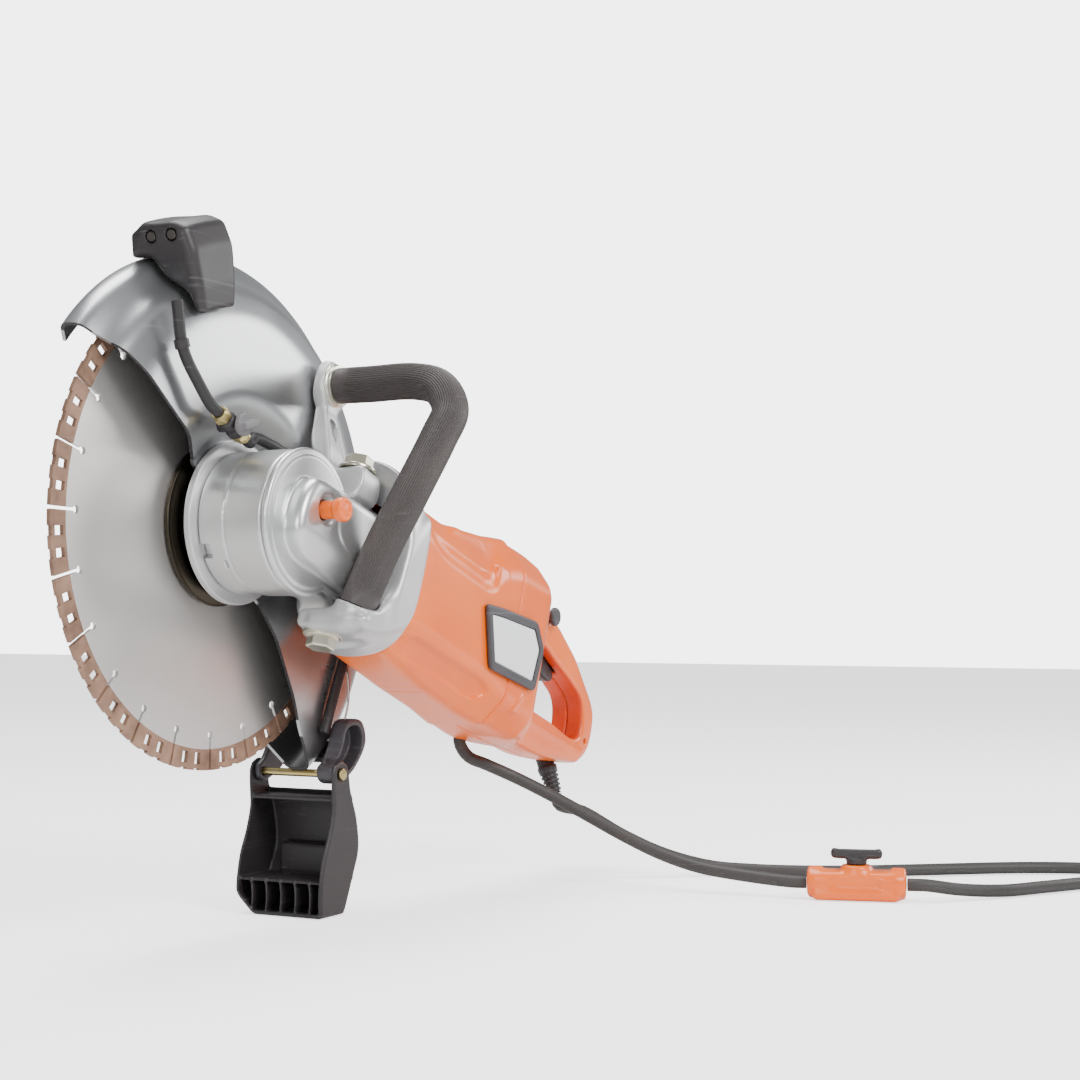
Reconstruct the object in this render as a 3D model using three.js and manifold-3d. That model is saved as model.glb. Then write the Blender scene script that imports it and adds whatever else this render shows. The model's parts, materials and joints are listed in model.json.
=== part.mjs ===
// An electric concrete cut-off saw with a 350 mm diamond blade, standing nose-up on its spray flap.
// Millimetres, +Z up, +X towards the blade's front, +Y towards the gear cap and the operator's left.
import * as THREE from "three";
import { mergeVertices } from "three/addons/utils/BufferGeometryUtils.js";
import Module from "manifold-3d";

const wasm = await Module();
wasm.setup();

// ---- Driving dimensions ----
const CLEAR = 0.3; // gap between two pieces that touch
const NOSE_UP = THREE.MathUtils.degToRad(20); // how far the machine leans back as it stands
const BLADE_R = 175;
const ARBOR = new THREE.Vector3(134.9, -61.8, BLADE_R + 113); // blade centre above the point under the machine's middle

const BLADE_T = 3;
const SEGMENTS = 24;
const SLOT_DEPTH = 25; // from the rim to the keyhole's centre
const SLOT_W = 2.4;
const KEYHOLE_R = 2.4;
const FIRST_SLOT_DEG = -3.4;

const SPIGOT_R = 12.4; // spindle where the blade, bearings and crown wheel sit
const FLANGE_R = 59;
const FLANGE_T = 7.4;
const BOLT_COLLAR_R = 20;
const BOLT_COLLAR_T = 3;
const BOLT_R = 4.7;
const BOLT_HEAD_R = 11;
const BOLT_HEAD_H = 8;
const SPINDLE_SHOULDER_R = 16;
const SPINDLE_TOP_Y = 64;

const HOUSING_R = 51; // gear housing barrel
const HOUSING_WALL = 4.5;
const HOUSING_Y0 = 23;
const HOUSING_Y1 = 77;
const NECK_RING_R = 58;
const NECK_SPIGOT_R = 37;
const CAP_PLATE_T = 4;
const CAP_TOP_Y = 100;
const CAP_BULGE_R = 33;
const CAP_TAIL_Y = 94; // lower step of the bulge, over the motor shaft
const CAP_TAIL_HALF_Z = 26;
const CAP_WALL = 4;
const SPINDLE_BEARING_R = 22;
const SPINDLE_BEARING_W = 11;

const MOTOR_Y = 74; // motor axis, along X
const SHAFT_R = 6;
const PINION_SHAFT_R = 3.6;
const MODULE = 2;
const PINION_TEETH = 9;
const CROWN_TEETH = 37;
const GEAR_OUT = 37; // outer end of the teeth, from the arbor axis
const GEAR_IN = 29;
const TUNNEL_R = 16.3; // bore of the housing round the motor shaft
const ROTOR_R = 23;
const STATOR_R = 35;
const FAN_R = 34;

const LOCK_X = 2.7; // spindle lock's place on the cap
const LOCK_Z = 7.5;
const LOCK_STROKE = 6;
const LOCK_PIN_R = 2.6;
const LOCK_BUTTON_R = 8.5;

const GUARD_T = 2.5;
const GUARD_FRONT_DEG = 21.2;
const GUARD_REAR_DEG = 222;
const GUARD_HANDLE_DEG = [47, 62];

const FLANGE_X0 = -99; // handle flange casting, rear and front faces
const FLANGE_X1 = -76;
const BODY_X0 = -256; // rear end of the motor housing
const BODY_WALL = 3;
const BODY_HALF_W = 42; // motor axis to the side away from the guard
const BODY_GUARD_Y = 32; // the body's side by the guard
const GRIP_HALF_W = 16;

const HANDLE_TUBE_R = 13.5; // front handle
const HANDLE_X = -55;
const HANDLE_BOSS_Y = 45; // where the rubber begins
const HANDLE_OUT_Y = 146;
const HANDLE_TOP_Z = 133;
const HANDLE_END = new THREE.Vector3(-50, 74 + 2 * HANDLE_TUBE_R, -30.5 - HANDLE_TUBE_R);

const FLAP_HINGE_R = BLADE_R + 34.4;
const FLAP_HINGE_DEG = 241.5; // about the arbor, from the level
const FLAP_Y = [-32, 45];
const FLAP_WALL = 3;
const FLAP_PIN_R = 3;
const SOLE_Z = -ARBOR.z;

const CORD_R = 5; // power cord and water hose
const COIL_TURN_R = 55; // coil's middle radius

// ---- Materials ----
function finish(color, roughness, metalness) {
  return new THREE.MeshStandardMaterial({ color, roughness, metalness });
}
const orange = finish(0xeb6e2d, 0.42, 0);
const silver = finish(0xa2a3a4, 0.42, 0.7);
const steel = finish(0xaaa5a0, 0.35, 0.9);
const blackPlastic = finish(0x322d30, 0.55, 0);
const greyPlastic = finish(0x6e6c6e, 0.5, 0);
const rubber = finish(0x5f5a58, 0.75, 0);
const brass = finish(0xc8b478, 0.35, 0.9);
const copper = finish(0xb87333, 0.4, 0.9);
const badgeFace = finish(0xd7dcdf, 0.4, 0);
const zinc = finish(0xc3c1b4, 0.35, 0.8);
const darkSteel = finish(0x3c3a38, 0.4, 0.8);

// ---- Frames: everything hangs on the arbor; the machine leans back about it ----
const group = new THREE.Group();
const stand = new THREE.Group();
stand.position.copy(ARBOR);
const machine = new THREE.Group();
machine.rotation.y = -NOSE_UP;
stand.add(machine);
group.add(stand);

function add(name, geometry, material, parent = machine) {
  const mesh = new THREE.Mesh(geometry, material);
  mesh.name = name;
  parent.add(mesh);
  return mesh;
}

// ---- Shape helpers ----
function bare(geometry) {
  const only = new THREE.BufferGeometry();
  const flat = geometry.index ? geometry.toNonIndexed() : geometry;
  only.setAttribute("position", flat.getAttribute("position").clone());
  return mergeVertices(only, 1e-3);
}

function solid(geometry) {
  const merged = bare(geometry);
  return new wasm.Manifold(
    new wasm.Mesh({
      numProp: 3,
      vertProperties: merged.attributes.position.array,
      triVerts: new Uint32Array(merged.index.array),
    }),
  );
}

function geometryOf(manifold) {
  const mesh = manifold.getMesh();
  const geometry = new THREE.BufferGeometry();
  geometry.setAttribute("position", new THREE.BufferAttribute(mesh.vertProperties, 3));
  geometry.setIndex(new THREE.BufferAttribute(mesh.triVerts, 1));
  return geometry;
}

const joined = (...parts) => geometryOf(parts.map(solid).reduce((a, b) => a.add(b)));
const without = (whole, ...cuts) => geometryOf(cuts.map(solid).reduce((a, b) => a.subtract(b), solid(whole)));
const shared = (a, b) => geometryOf(solid(a).intersect(solid(b)));

function shapeOf(points) {
  return new THREE.Shape(points.map(([u, v]) => new THREE.Vector2(u, v)));
}

function circle(radius, sides = 32, at = [0, 0]) {
  return Array.from({ length: sides }, (_, i) => {
    const angle = (i / sides) * 2 * Math.PI;
    return [at[0] + radius * Math.cos(angle), at[1] + radius * Math.sin(angle)];
  });
}

function withHoles(outline, ...holes) {
  const shape = shapeOf(outline);
  shape.holes = holes.map((hole) => new THREE.Path(hole.map(([u, v]) => new THREE.Vector2(u, v))));
  return shape;
}

// A closed profile of [radius, height] points turned about the Y axis.
function turned(profile, sides = 32) {
  const points = profile.map(([r, y]) => new THREE.Vector2(r, y));
  const onAxis = profile[0][0] === 0 && profile[profile.length - 1][0] === 0;
  if (THREE.ShapeUtils.area(points) < 0) points.reverse();
  if (!onAxis) points.push(points[0].clone());
  return new THREE.LatheGeometry(points, sides);
}

// The same, with the axis along X at the motor's height: [radius, x] points.
function turnedAlongX(profile, sides = 24) {
  return turned(profile, sides)
    .rotateZ(-Math.PI / 2)
    .translate(0, MOTOR_Y, 0);
}

const ring = (r0, r1, y0, y1, sides) => turned([[r0, y0], [r1, y0], [r1, y1], [r0, y1]], sides);
const ringAlongX = (r0, r1, x0, x1, sides) => turnedAlongX([[r0, x0], [r1, x0], [r1, x1], [r0, x1]], sides);
const rod = (r, y0, y1, x = 0, z = 0, sides = 20) =>
  turned([[0, y0], [r, y0], [r, y1], [0, y1]], sides).translate(x, 0, z);
const rodAlongX = (r, x0, x1, sides = 28) => turnedAlongX([[0, x0], [r, x0], [r, x1], [0, x1]], sides);

// A side outline in X and Z, from y0 to y1, its edges rounded by a bevel.
function sidePlate(outline, y0, y1, bevel = 0, segments = 2, inset = 0) {
  const shape = outline instanceof THREE.Shape ? outline : shapeOf(outline);
  return new THREE.ExtrudeGeometry(shape, {
    depth: y1 - y0 - 2 * bevel,
    bevelEnabled: bevel > 0,
    bevelSize: bevel,
    bevelThickness: bevel,
    bevelOffset: -bevel - inset,
    bevelSegments: segments,
    curveSegments: 8,
  })
    .rotateX(Math.PI / 2)
    .translate(0, y1 - bevel, 0);
}

// A front outline in Y and Z, from x0 to x1.
function frontPlate(outline, x0, x1, bevel = 0, segments = 2) {
  const shape = outline instanceof THREE.Shape ? outline : shapeOf(outline);
  const turn = new THREE.Matrix4().makeBasis(
    new THREE.Vector3(0, 1, 0),
    new THREE.Vector3(0, 0, 1),
    new THREE.Vector3(1, 0, 0),
  );
  return new THREE.ExtrudeGeometry(shape, {
    depth: x1 - x0 - 2 * bevel,
    bevelEnabled: bevel > 0,
    bevelSize: bevel,
    bevelThickness: bevel,
    bevelOffset: -bevel,
    bevelSegments: segments,
    curveSegments: 8,
  })
    .applyMatrix4(turn)
    .translate(x0 + bevel, 0, 0);
}

function block(x0, x1, y0, y1, z0, z1) {
  return new THREE.BoxGeometry(x1 - x0, y1 - y0, z1 - z0).translate((x0 + x1) / 2, (y0 + y1) / 2, (z0 + z1) / 2);
}

// A section carried from t = 0 to 1 in equal steps, each point placed by a function of (u, v, t).
function carried(shape, steps, place) {
  const geometry = new THREE.ExtrudeGeometry(shape, { depth: 1, steps, bevelEnabled: false, curveSegments: 8 });
  const positions = geometry.getAttribute("position");
  for (let i = 0; i < positions.count; i += 1) {
    const p = place(positions.getX(i), positions.getY(i), positions.getZ(i));
    positions.setXYZ(i, p.x, p.y, p.z);
  }
  return geometry;
}

// A tube along a curve through the points.
function tube(points, radius, steps, sides = 10) {
  const extrudePath = new THREE.CatmullRomCurve3(points, false, "centripetal");
  return new THREE.ExtrudeGeometry(shapeOf(circle(radius, sides)), { steps, extrudePath });
}

const at = (x, y, z) => new THREE.Vector3(x, y, z);

// A straight rod between two points.
function pinBetween(from, to, radius, sides = 16) {
  return tube([from, from.clone().lerp(to, 0.5), to], radius, 1, sides);
}

function polar(radius, y, degrees) {
  const angle = THREE.MathUtils.degToRad(degrees);
  return at(radius * Math.cos(angle), y, radius * Math.sin(angle));
}

// Offsets an open line of points to its left by a distance, with mitred corners.
function offsetLine(points, distance) {
  return points.map((p, i) => {
    const before = points[Math.max(i - 1, 0)];
    const after = points[Math.min(i + 1, points.length - 1)];
    const normals = [[before, p], [p, after]]
      .filter(([a, b]) => a !== b)
      .map(([a, b]) => new THREE.Vector2(-(b[1] - a[1]), b[0] - a[0]).normalize());
    const mean = normals.reduce((a, b) => a.clone().add(b)).normalize();
    const stretch = distance / Math.max(mean.dot(normals[0]), 0.5);
    return [p[0] + mean.x * stretch, p[1] + mean.y * stretch];
  });
}

// ---- Blade and spindle ----
function bladeOutline() {
  const outline = [];
  const pitch = 360 / SEGMENTS;
  const half = THREE.MathUtils.radToDeg(SLOT_W / 2 / BLADE_R);
  for (let k = 0; k < SEGMENTS; k += 1) {
    const slot = FIRST_SLOT_DEG + k * pitch;
    const radial = polar(1, 0, slot);
    const side = polar(1, 0, slot + 90);
    const place = (r, s) => [r * radial.x + s * side.x, r * radial.z + s * side.z];
    outline.push(place(BLADE_R, -SLOT_W / 2));
    const keyhole = BLADE_R - SLOT_DEPTH;
    outline.push(place(keyhole + KEYHOLE_R * 0.86, -SLOT_W / 2));
    for (let i = 1; i < 5; i += 1) {
      const angle = THREE.MathUtils.degToRad(-30 - i * 60);
      outline.push(place(keyhole + KEYHOLE_R * Math.cos(angle), KEYHOLE_R * Math.sin(angle)));
    }
    outline.push(place(keyhole + KEYHOLE_R * 0.86, SLOT_W / 2));
    outline.push(place(BLADE_R, SLOT_W / 2));
    for (let i = 1; i < 3; i += 1) {
      const rim = polar(BLADE_R, 0, slot + half + ((pitch - 2 * half) * i) / 3);
      outline.push([rim.x, rim.z]);
    }
  }
  return outline;
}

const boreR = SPIGOT_R + CLEAR;
const bladeFace = BLADE_T / 2 + CLEAR;
const flangeBack = bladeFace + FLANGE_T;
add("blade", sidePlate(withHoles(bladeOutline(), circle(boreR, 24)), -BLADE_T / 2, BLADE_T / 2), steel);

const flangeProfile = [
  [boreR, bladeFace],
  [FLANGE_R, bladeFace],
  [FLANGE_R, bladeFace + 0.45 * FLANGE_T],
  [FLANGE_R - 7, flangeBack - 1],
  [FLANGE_R - 14, flangeBack],
  [boreR, flangeBack],
];
add("inner_flange", turned(flangeProfile, 36), darkSteel);
add("outer_flange", turned(flangeProfile.map(([r, y]) => [r, -y]), 36), darkSteel);

const spigotEnd = -flangeBack + 0.2;
const collarY = -flangeBack - CLEAR;
const threadDepthY = 16;
add(
  "arbor_bolt",
  joined(
    rod(BOLT_R, collarY - 1, threadDepthY - 2, 0, 0, 16),
    rod(BOLT_COLLAR_R, collarY - BOLT_COLLAR_T, collarY, 0, 0, 24),
    rod(BOLT_HEAD_R, collarY - BOLT_COLLAR_T - BOLT_HEAD_H, collarY - 1, 0, 0, 6),
  ),
  zinc,
);

const shoulderY = flangeBack + CLEAR;
const collarTopY = HOUSING_Y0 - CLEAR;
// Two sockets face each other across the spindle, so the lock pin finds one each half turn
const lockSockets = [1, -1].map((way) =>
  rod(LOCK_PIN_R + CLEAR, SPINDLE_TOP_Y - LOCK_STROKE - 2, SPINDLE_TOP_Y + 1, way * LOCK_X, way * LOCK_Z, 14),
);
add(
  "spindle_shaft",
  without(
    turned(
      [
        [0, threadDepthY],
        [BOLT_R + CLEAR, threadDepthY],
        [BOLT_R + CLEAR, spigotEnd],
        [SPIGOT_R, spigotEnd],
        [SPIGOT_R, shoulderY],
        [SPINDLE_SHOULDER_R, shoulderY],
        [SPINDLE_SHOULDER_R, collarTopY],
        [SPIGOT_R, collarTopY],
        [SPIGOT_R, SPINDLE_TOP_Y],
        [0, SPINDLE_TOP_Y],
      ],
      24,
    ),
    ...lockSockets,
  ),
  steel,
);

// Straight bevel gears whose teeth shrink towards the apex, where the two axes cross.
const pitchOf = (r) => ((MODULE * PINION_TEETH) / 2 / GEAR_OUT) * r;
const TOOTH_TIP = 0.45 * MODULE;
const TOOTH_ROOT = 1.05 * MODULE;
const TOOTH_FLARE = 0.35 * MODULE;
const TOOTH_HALF = 0.38 * MODULE; // half thickness at the pitch line, thin for backlash
const crownRootY = (r) => MOTOR_Y - pitchOf(r) - (TOOTH_ROOT * r) / GEAR_OUT;

function crownTooth() {
  const pitch = pitchOf(GEAR_OUT);
  const trapezoid = [
    [-TOOTH_HALF - TOOTH_FLARE, -pitch - TOOTH_ROOT - 1],
    [TOOTH_HALF + TOOTH_FLARE, -pitch - TOOTH_ROOT - 1],
    [TOOTH_HALF - TOOTH_FLARE / 2, -pitch + TOOTH_TIP],
    [-TOOTH_HALF + TOOTH_FLARE / 2, -pitch + TOOTH_TIP],
  ];
  const length = GEAR_OUT - GEAR_IN;
  // u runs round the wheel, v along its axis, t outwards from the inner end
  return carried(shapeOf(trapezoid), 1, (u, v, t) => {
    const x = GEAR_IN + t * length;
    const k = x / GEAR_OUT;
    return at(x, MOTOR_Y + v * k, -u * k);
  });
}

function crownWheel() {
  const backY = 51;
  const body = turned(
    [
      [boreR, backY],
      [GEAR_OUT + 1, backY],
      [GEAR_OUT + 1, crownRootY(GEAR_OUT + 1)],
      [GEAR_IN - 1, crownRootY(GEAR_IN - 1)],
      [GEAR_IN - 3, 60],
      [boreR, 60],
    ],
    28,
  );
  const teeth = [];
  for (let k = 0; k < CROWN_TEETH; k += 1) {
    // A gap, not a tooth, faces the pinion at the rear
    const angle = Math.PI + ((k + 0.5) * 2 * Math.PI) / CROWN_TEETH;
    teeth.push(crownTooth().rotateY(angle));
  }
  return joined(body, ...teeth);
}
add("crown_wheel", crownWheel(), steel);

function pinionGear() {
  const outline = [];
  const pitch = pitchOf(GEAR_OUT);
  const stations = [
    [pitch - TOOTH_ROOT, -TOOTH_HALF - TOOTH_FLARE / 2],
    [pitch, -TOOTH_HALF],
    [pitch + TOOTH_TIP, -TOOTH_HALF + TOOTH_FLARE / 2],
    [pitch + TOOTH_TIP, TOOTH_HALF - TOOTH_FLARE / 2],
    [pitch, TOOTH_HALF],
    [pitch - TOOTH_ROOT, TOOTH_HALF + TOOTH_FLARE / 2],
  ];
  for (let k = 0; k < PINION_TEETH; k += 1) {
    // A tooth points at the crown wheel, towards -Y
    const angle = -Math.PI / 2 + (k * 2 * Math.PI) / PINION_TEETH;
    for (const [r, s] of stations) {
      outline.push([r * Math.cos(angle) - s * Math.sin(angle), r * Math.sin(angle) + s * Math.cos(angle)]);
    }
  }
  const gear = carried(shapeOf(outline), 1, (u, v, t) => {
    const x = -GEAR_OUT + t * (GEAR_OUT - GEAR_IN);
    const k = -x / GEAR_OUT;
    return at(x, MOTOR_Y + u * k, v * k);
  });
  return without(gear, rodAlongX(PINION_SHAFT_R + CLEAR, -GEAR_OUT - 2, -GEAR_IN + 2, 18));
}
add("pinion_gear", pinionGear(), steel);

// ---- Motor: armature on its shaft, stator and brushes round it ----
const MOTOR_BEARING_X = [-60, -48];
const FAN_X = [-116, -102];
const ROTOR_X = [-192, -130];
const COMMUTATOR_X = [-222, -204];
const COMMUTATOR_R = 14;
const REAR_BEARING_X = [-246, -236];
const SHAFT_X = [-248, -27];

add(
  "armature_shaft",
  turnedAlongX(
    [
      [0, SHAFT_X[0]],
      [SHAFT_R, SHAFT_X[0]],
      [SHAFT_R, -GEAR_OUT - 2],
      [PINION_SHAFT_R, -GEAR_OUT - 2],
      [PINION_SHAFT_R, SHAFT_X[1]],
      [0, SHAFT_X[1]],
    ],
    18,
  ),
  steel,
);
add("motor_bearing_front", ringAlongX(SHAFT_R + CLEAR, TUNNEL_R - CLEAR, ...MOTOR_BEARING_X), steel);
add("motor_bearing_rear", ringAlongX(SHAFT_R + CLEAR, 13, ...REAR_BEARING_X), steel);

function armatureCore() {
  const slots = 12;
  const outline = [];
  for (let k = 0; k < slots; k += 1) {
    for (const [r, part] of [[ROTOR_R, 0.12], [ROTOR_R, 0.5], [ROTOR_R, 0.88], [ROTOR_R - 8, 0.9], [ROTOR_R - 8, 1.1]]) {
      const angle = ((k + part) / slots) * 2 * Math.PI;
      outline.push([MOTOR_Y + r * Math.cos(angle), r * Math.sin(angle)]);
    }
  }
  return frontPlate(withHoles(outline, circle(SHAFT_R + CLEAR, 18, [MOTOR_Y, 0])), ...ROTOR_X);
}
add("armature_core", armatureCore(), darkSteel);
add("commutator", ringAlongX(SHAFT_R + CLEAR, COMMUTATOR_R, ...COMMUTATOR_X, 20), copper);

const FAN_BLADES = 7;
function coolingFan() {
  const hub = ringAlongX(SHAFT_R + CLEAR, 11, ...FAN_X, 24);
  const disc = ringAlongX(9, FAN_R, FAN_X[0], FAN_X[0] + 2, 24);
  const blades = [];
  for (let k = 0; k < FAN_BLADES; k += 1) {
    const blade = block(FAN_X[0] + 1, FAN_X[1], MOTOR_Y - 1, MOTOR_Y + 1, 10, FAN_R - 1);
    blades.push(blade.translate(0, -MOTOR_Y, 0).rotateX((k * 2 * Math.PI) / FAN_BLADES).translate(0, MOTOR_Y, 0));
  }
  return joined(hub, disc, ...blades);
}
add("cooling_fan", coolingFan(), blackPlastic);

// The stator's two slots carry the bars of the field winding, which joins its end turns.
const AIR_GAP = 1;
const WINDING_L = 9;
const WINDING_R = [ROTOR_R + 2, STATOR_R - 3];
const windingBar = (slack) =>
  block(
    ROTOR_X[0] - WINDING_L / 2, ROTOR_X[1] + WINDING_L / 2,
    MOTOR_Y - 6 - slack, MOTOR_Y + 6 + slack,
    -WINDING_R[1] + 1 - slack, WINDING_R[1] - 1 + slack,
  );
const windingBore = (slack) => rodAlongX(WINDING_R[0] + 1 - slack, ROTOR_X[0] - 20, ROTOR_X[1] + 20, 28);
add(
  "stator_core",
  without(ringAlongX(ROTOR_R + AIR_GAP, STATOR_R, ...ROTOR_X, 28), without(windingBar(CLEAR), windingBore(3))),
  darkSteel,
);
add(
  "field_winding",
  joined(
    ringAlongX(...WINDING_R, ROTOR_X[1] + CLEAR, ROTOR_X[1] + CLEAR + WINDING_L, 24),
    ringAlongX(...WINDING_R, ROTOR_X[0] - CLEAR - WINDING_L, ROTOR_X[0] - CLEAR, 24),
    without(windingBar(0), windingBore(0)),
  ),
  copper,
);

// Carbon brushes press on the commutator from above and below.
const BRUSH = { halfX: 6, halfY: 4.5, length: 14 };
const brushX = (COMMUTATOR_X[0] + COMMUTATOR_X[1]) / 2;
const brushReach = COMMUTATOR_R + CLEAR;
function brush(z0, z1) {
  return block(brushX - BRUSH.halfX, brushX + BRUSH.halfX, MOTOR_Y - BRUSH.halfY, MOTOR_Y + BRUSH.halfY, z0, z1);
}
add("carbon_brush_upper", brush(brushReach, brushReach + BRUSH.length), darkSteel);
add("carbon_brush_lower", brush(-brushReach - BRUSH.length, -brushReach), darkSteel);

// ---- Gear housing, its collar and its cap ----
const bearing1 = [HOUSING_Y0 + 2.5, HOUSING_Y0 + 2.5 + SPINDLE_BEARING_W];
const bearing2 = [bearing1[1] + 1.5, bearing1[1] + 1.5 + SPINDLE_BEARING_W];
add("spindle_bearing_front", ring(boreR, SPINDLE_BEARING_R, ...bearing1, 24), steel);
add("spindle_bearing_rear", ring(boreR, SPINDLE_BEARING_R, ...bearing2, 24), steel);

const NECK_HALF_Z = 38;
const neckX0 = FLANGE_X1 + CLEAR;
function gearHousing() {
  const carrierR = SPINDLE_BEARING_R + CLEAR;
  const barrel = rod(HOUSING_R, HOUSING_Y0, HOUSING_Y1, 0, 0, 36);
  const neck = block(neckX0, 0, 42, HOUSING_Y1, -NECK_HALF_Z, NECK_HALF_Z);
  const hollow = ring(carrierR + 4, HOUSING_R - HOUSING_WALL, HOUSING_Y0 + 4, bearing2[1] + 1, 32);
  const crownRoom = rod(HOUSING_R - HOUSING_WALL, bearing2[1], HOUSING_Y1 + 1, 0, 0, 32);
  const bearingRoom = rod(carrierR, HOUSING_Y0 + 2, bearing2[1] + 1, 0, 0, 24);
  const spindleHole = rod(SPIGOT_R + 2, HOUSING_Y0 - 1, HOUSING_Y0 + 3, 0, 0, 24);
  const tunnel = rodAlongX(TUNNEL_R, neckX0 - 1, 0, 32);
  return without(joined(barrel, neck), hollow, crownRoom, bearingRoom, spindleHole, tunnel);
}
add("gear_housing", gearHousing(), silver);

const spigotWallY = 10.8;
add(
  "gear_neck_collar",
  turned(
    [
      [SPINDLE_SHOULDER_R + CLEAR, spigotWallY],
      [NECK_SPIGOT_R, spigotWallY],
      [NECK_SPIGOT_R, 17.2],
      [NECK_RING_R, 17.2],
      [NECK_RING_R, HOUSING_Y0 - CLEAR],
      [SPINDLE_SHOULDER_R + CLEAR, HOUSING_Y0 - CLEAR],
    ],
    36,
  ),
  silver,
);

// The cap's outline: a circle over the barrel that runs back over the neck.
function capOutline(radius, backX, halfZ) {
  const start = Math.PI - Math.asin(halfZ / radius);
  const arc = Array.from({ length: 17 }, (_, i) => {
    const angle = start - (i / 16) * 2 * start;
    return [radius * Math.cos(angle), radius * Math.sin(angle)];
  }).reverse();
  return [...arc, [backX, halfZ], [backX, -halfZ]];
}

function gearCap() {
  const plateY = HOUSING_Y1 + CLEAR;
  const plate = sidePlate(capOutline(HOUSING_R + 1, neckX0, NECK_HALF_Z), plateY, plateY + CAP_PLATE_T);
  const dome = sidePlate(capOutline(CAP_BULGE_R, -34, CAP_BULGE_R - 0.5), plateY + 1, CAP_TOP_Y, 7, 2);
  const tail = sidePlate(capOutline(CAP_TAIL_HALF_Z, neckX0, CAP_TAIL_HALF_Z - 0.5), plateY + 1, CAP_TAIL_Y, 5, 2);
  const inner = CAP_TAIL_HALF_Z - CAP_WALL;
  const domeRoom = rod(CAP_BULGE_R - CAP_WALL - 3, plateY - 1, CAP_TOP_Y - CAP_WALL, 0, 0, 32);
  const tailRoom = sidePlate(capOutline(inner, neckX0 - 1, inner - 0.5), plateY - 1, CAP_TAIL_Y - CAP_WALL + 0.5);
  const lockHole = rod(LOCK_BUTTON_R - 2 + CLEAR, CAP_TOP_Y - CAP_WALL - 1, CAP_TOP_Y + 1, LOCK_X, LOCK_Z, 24);
  const below = block(neckX0 - 1, 70, plateY - 30, plateY, -60, 60);
  return without(joined(plate, dome, tail), domeRoom, tailRoom, lockHole, below);
}
add("gear_cap", gearCap(), silver);

const lockStemR = LOCK_BUTTON_R - 2;
const lockHeadY = CAP_TOP_Y + LOCK_STROKE + 0.5;
add(
  "spindle_lock_button",
  joined(
    rod(LOCK_BUTTON_R, lockHeadY, lockHeadY + 6, LOCK_X, LOCK_Z, 24),
    rod(lockStemR, CAP_TOP_Y - CAP_WALL - 2, lockHeadY + 1, LOCK_X, LOCK_Z, 24),
    rod(LOCK_PIN_R, SPINDLE_TOP_Y + 1, CAP_TOP_Y - CAP_WALL, LOCK_X, LOCK_Z, 14),
  ),
  orange,
);

// ---- Handle flange: the casting between gear housing and motor housing ----
function flangeOutline(inset = 0) {
  return [
    [34, -44], [44, -58], [62, -66], [98, -62], [114, -46], [118, -10],
    [116, 34], [104, 62], [84, 78], [62, 82], [44, 72], [34, 50],
  ].map(([y, z]) => [76 + (y - 76) * (1 - inset), z * (1 - inset)]);
}

function arcSlot(r0, r1, from, to) {
  const arc = (r, a, b) =>
    Array.from({ length: 5 }, (_, i) => {
      const angle = THREE.MathUtils.degToRad(a + ((b - a) * i) / 4);
      return [MOTOR_Y + r * Math.cos(angle), r * Math.sin(angle)];
    });
  return [...arc(r1, from, to), ...arc(r0, to, from)];
}

const airSlots = [[25, 68], [78, 118], [-38, 8], [205, 245]].map(([from, to]) => arcSlot(27, 36, from, to));
function handleFlange() {
  const outline = withHoles(flangeOutline(), circle(TUNNEL_R, 28, [MOTOR_Y, 0]), ...airSlots);
  const plate = frontPlate(outline, FLANGE_X1 - 8, FLANGE_X1);
  const skirt = frontPlate(withHoles(flangeOutline(), flangeOutline(0.12)), FLANGE_X0, FLANGE_X1 - 7);
  return joined(plate, skirt);
}
// ---- Front handle ----
const handlePath = [
  at(HANDLE_X, HANDLE_BOSS_Y, HANDLE_TOP_Z),
  at(HANDLE_X, 70, HANDLE_TOP_Z),
  at(HANDLE_X, HANDLE_OUT_Y - 36, HANDLE_TOP_Z),
  at(HANDLE_X + 1, HANDLE_OUT_Y - 14, HANDLE_TOP_Z - 7),
  at(HANDLE_X + 2, HANDLE_OUT_Y - 1, HANDLE_TOP_Z - 26),
  at(HANDLE_X + 4, HANDLE_OUT_Y - 5, HANDLE_TOP_Z - 48),
  at(HANDLE_X + 7, HANDLE_OUT_Y - 18, 40),
  at(HANDLE_X + 8, HANDLE_OUT_Y - 31, 0),
  HANDLE_END,
];
add("front_handle", tube(handlePath, HANDLE_TUBE_R, 22, 12), rubber);

const handleStart = handlePath[0].y;
add(
  "handle_collar",
  turned(
    [
      [0, handleStart - CLEAR - 5],
      [HANDLE_TUBE_R + 3, handleStart - CLEAR - 5],
      [HANDLE_TUBE_R + 2, handleStart - CLEAR],
      [0, handleStart - CLEAR],
    ],
    24,
  ).translate(HANDLE_X, 0, HANDLE_TOP_Z),
  zinc,
);

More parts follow.
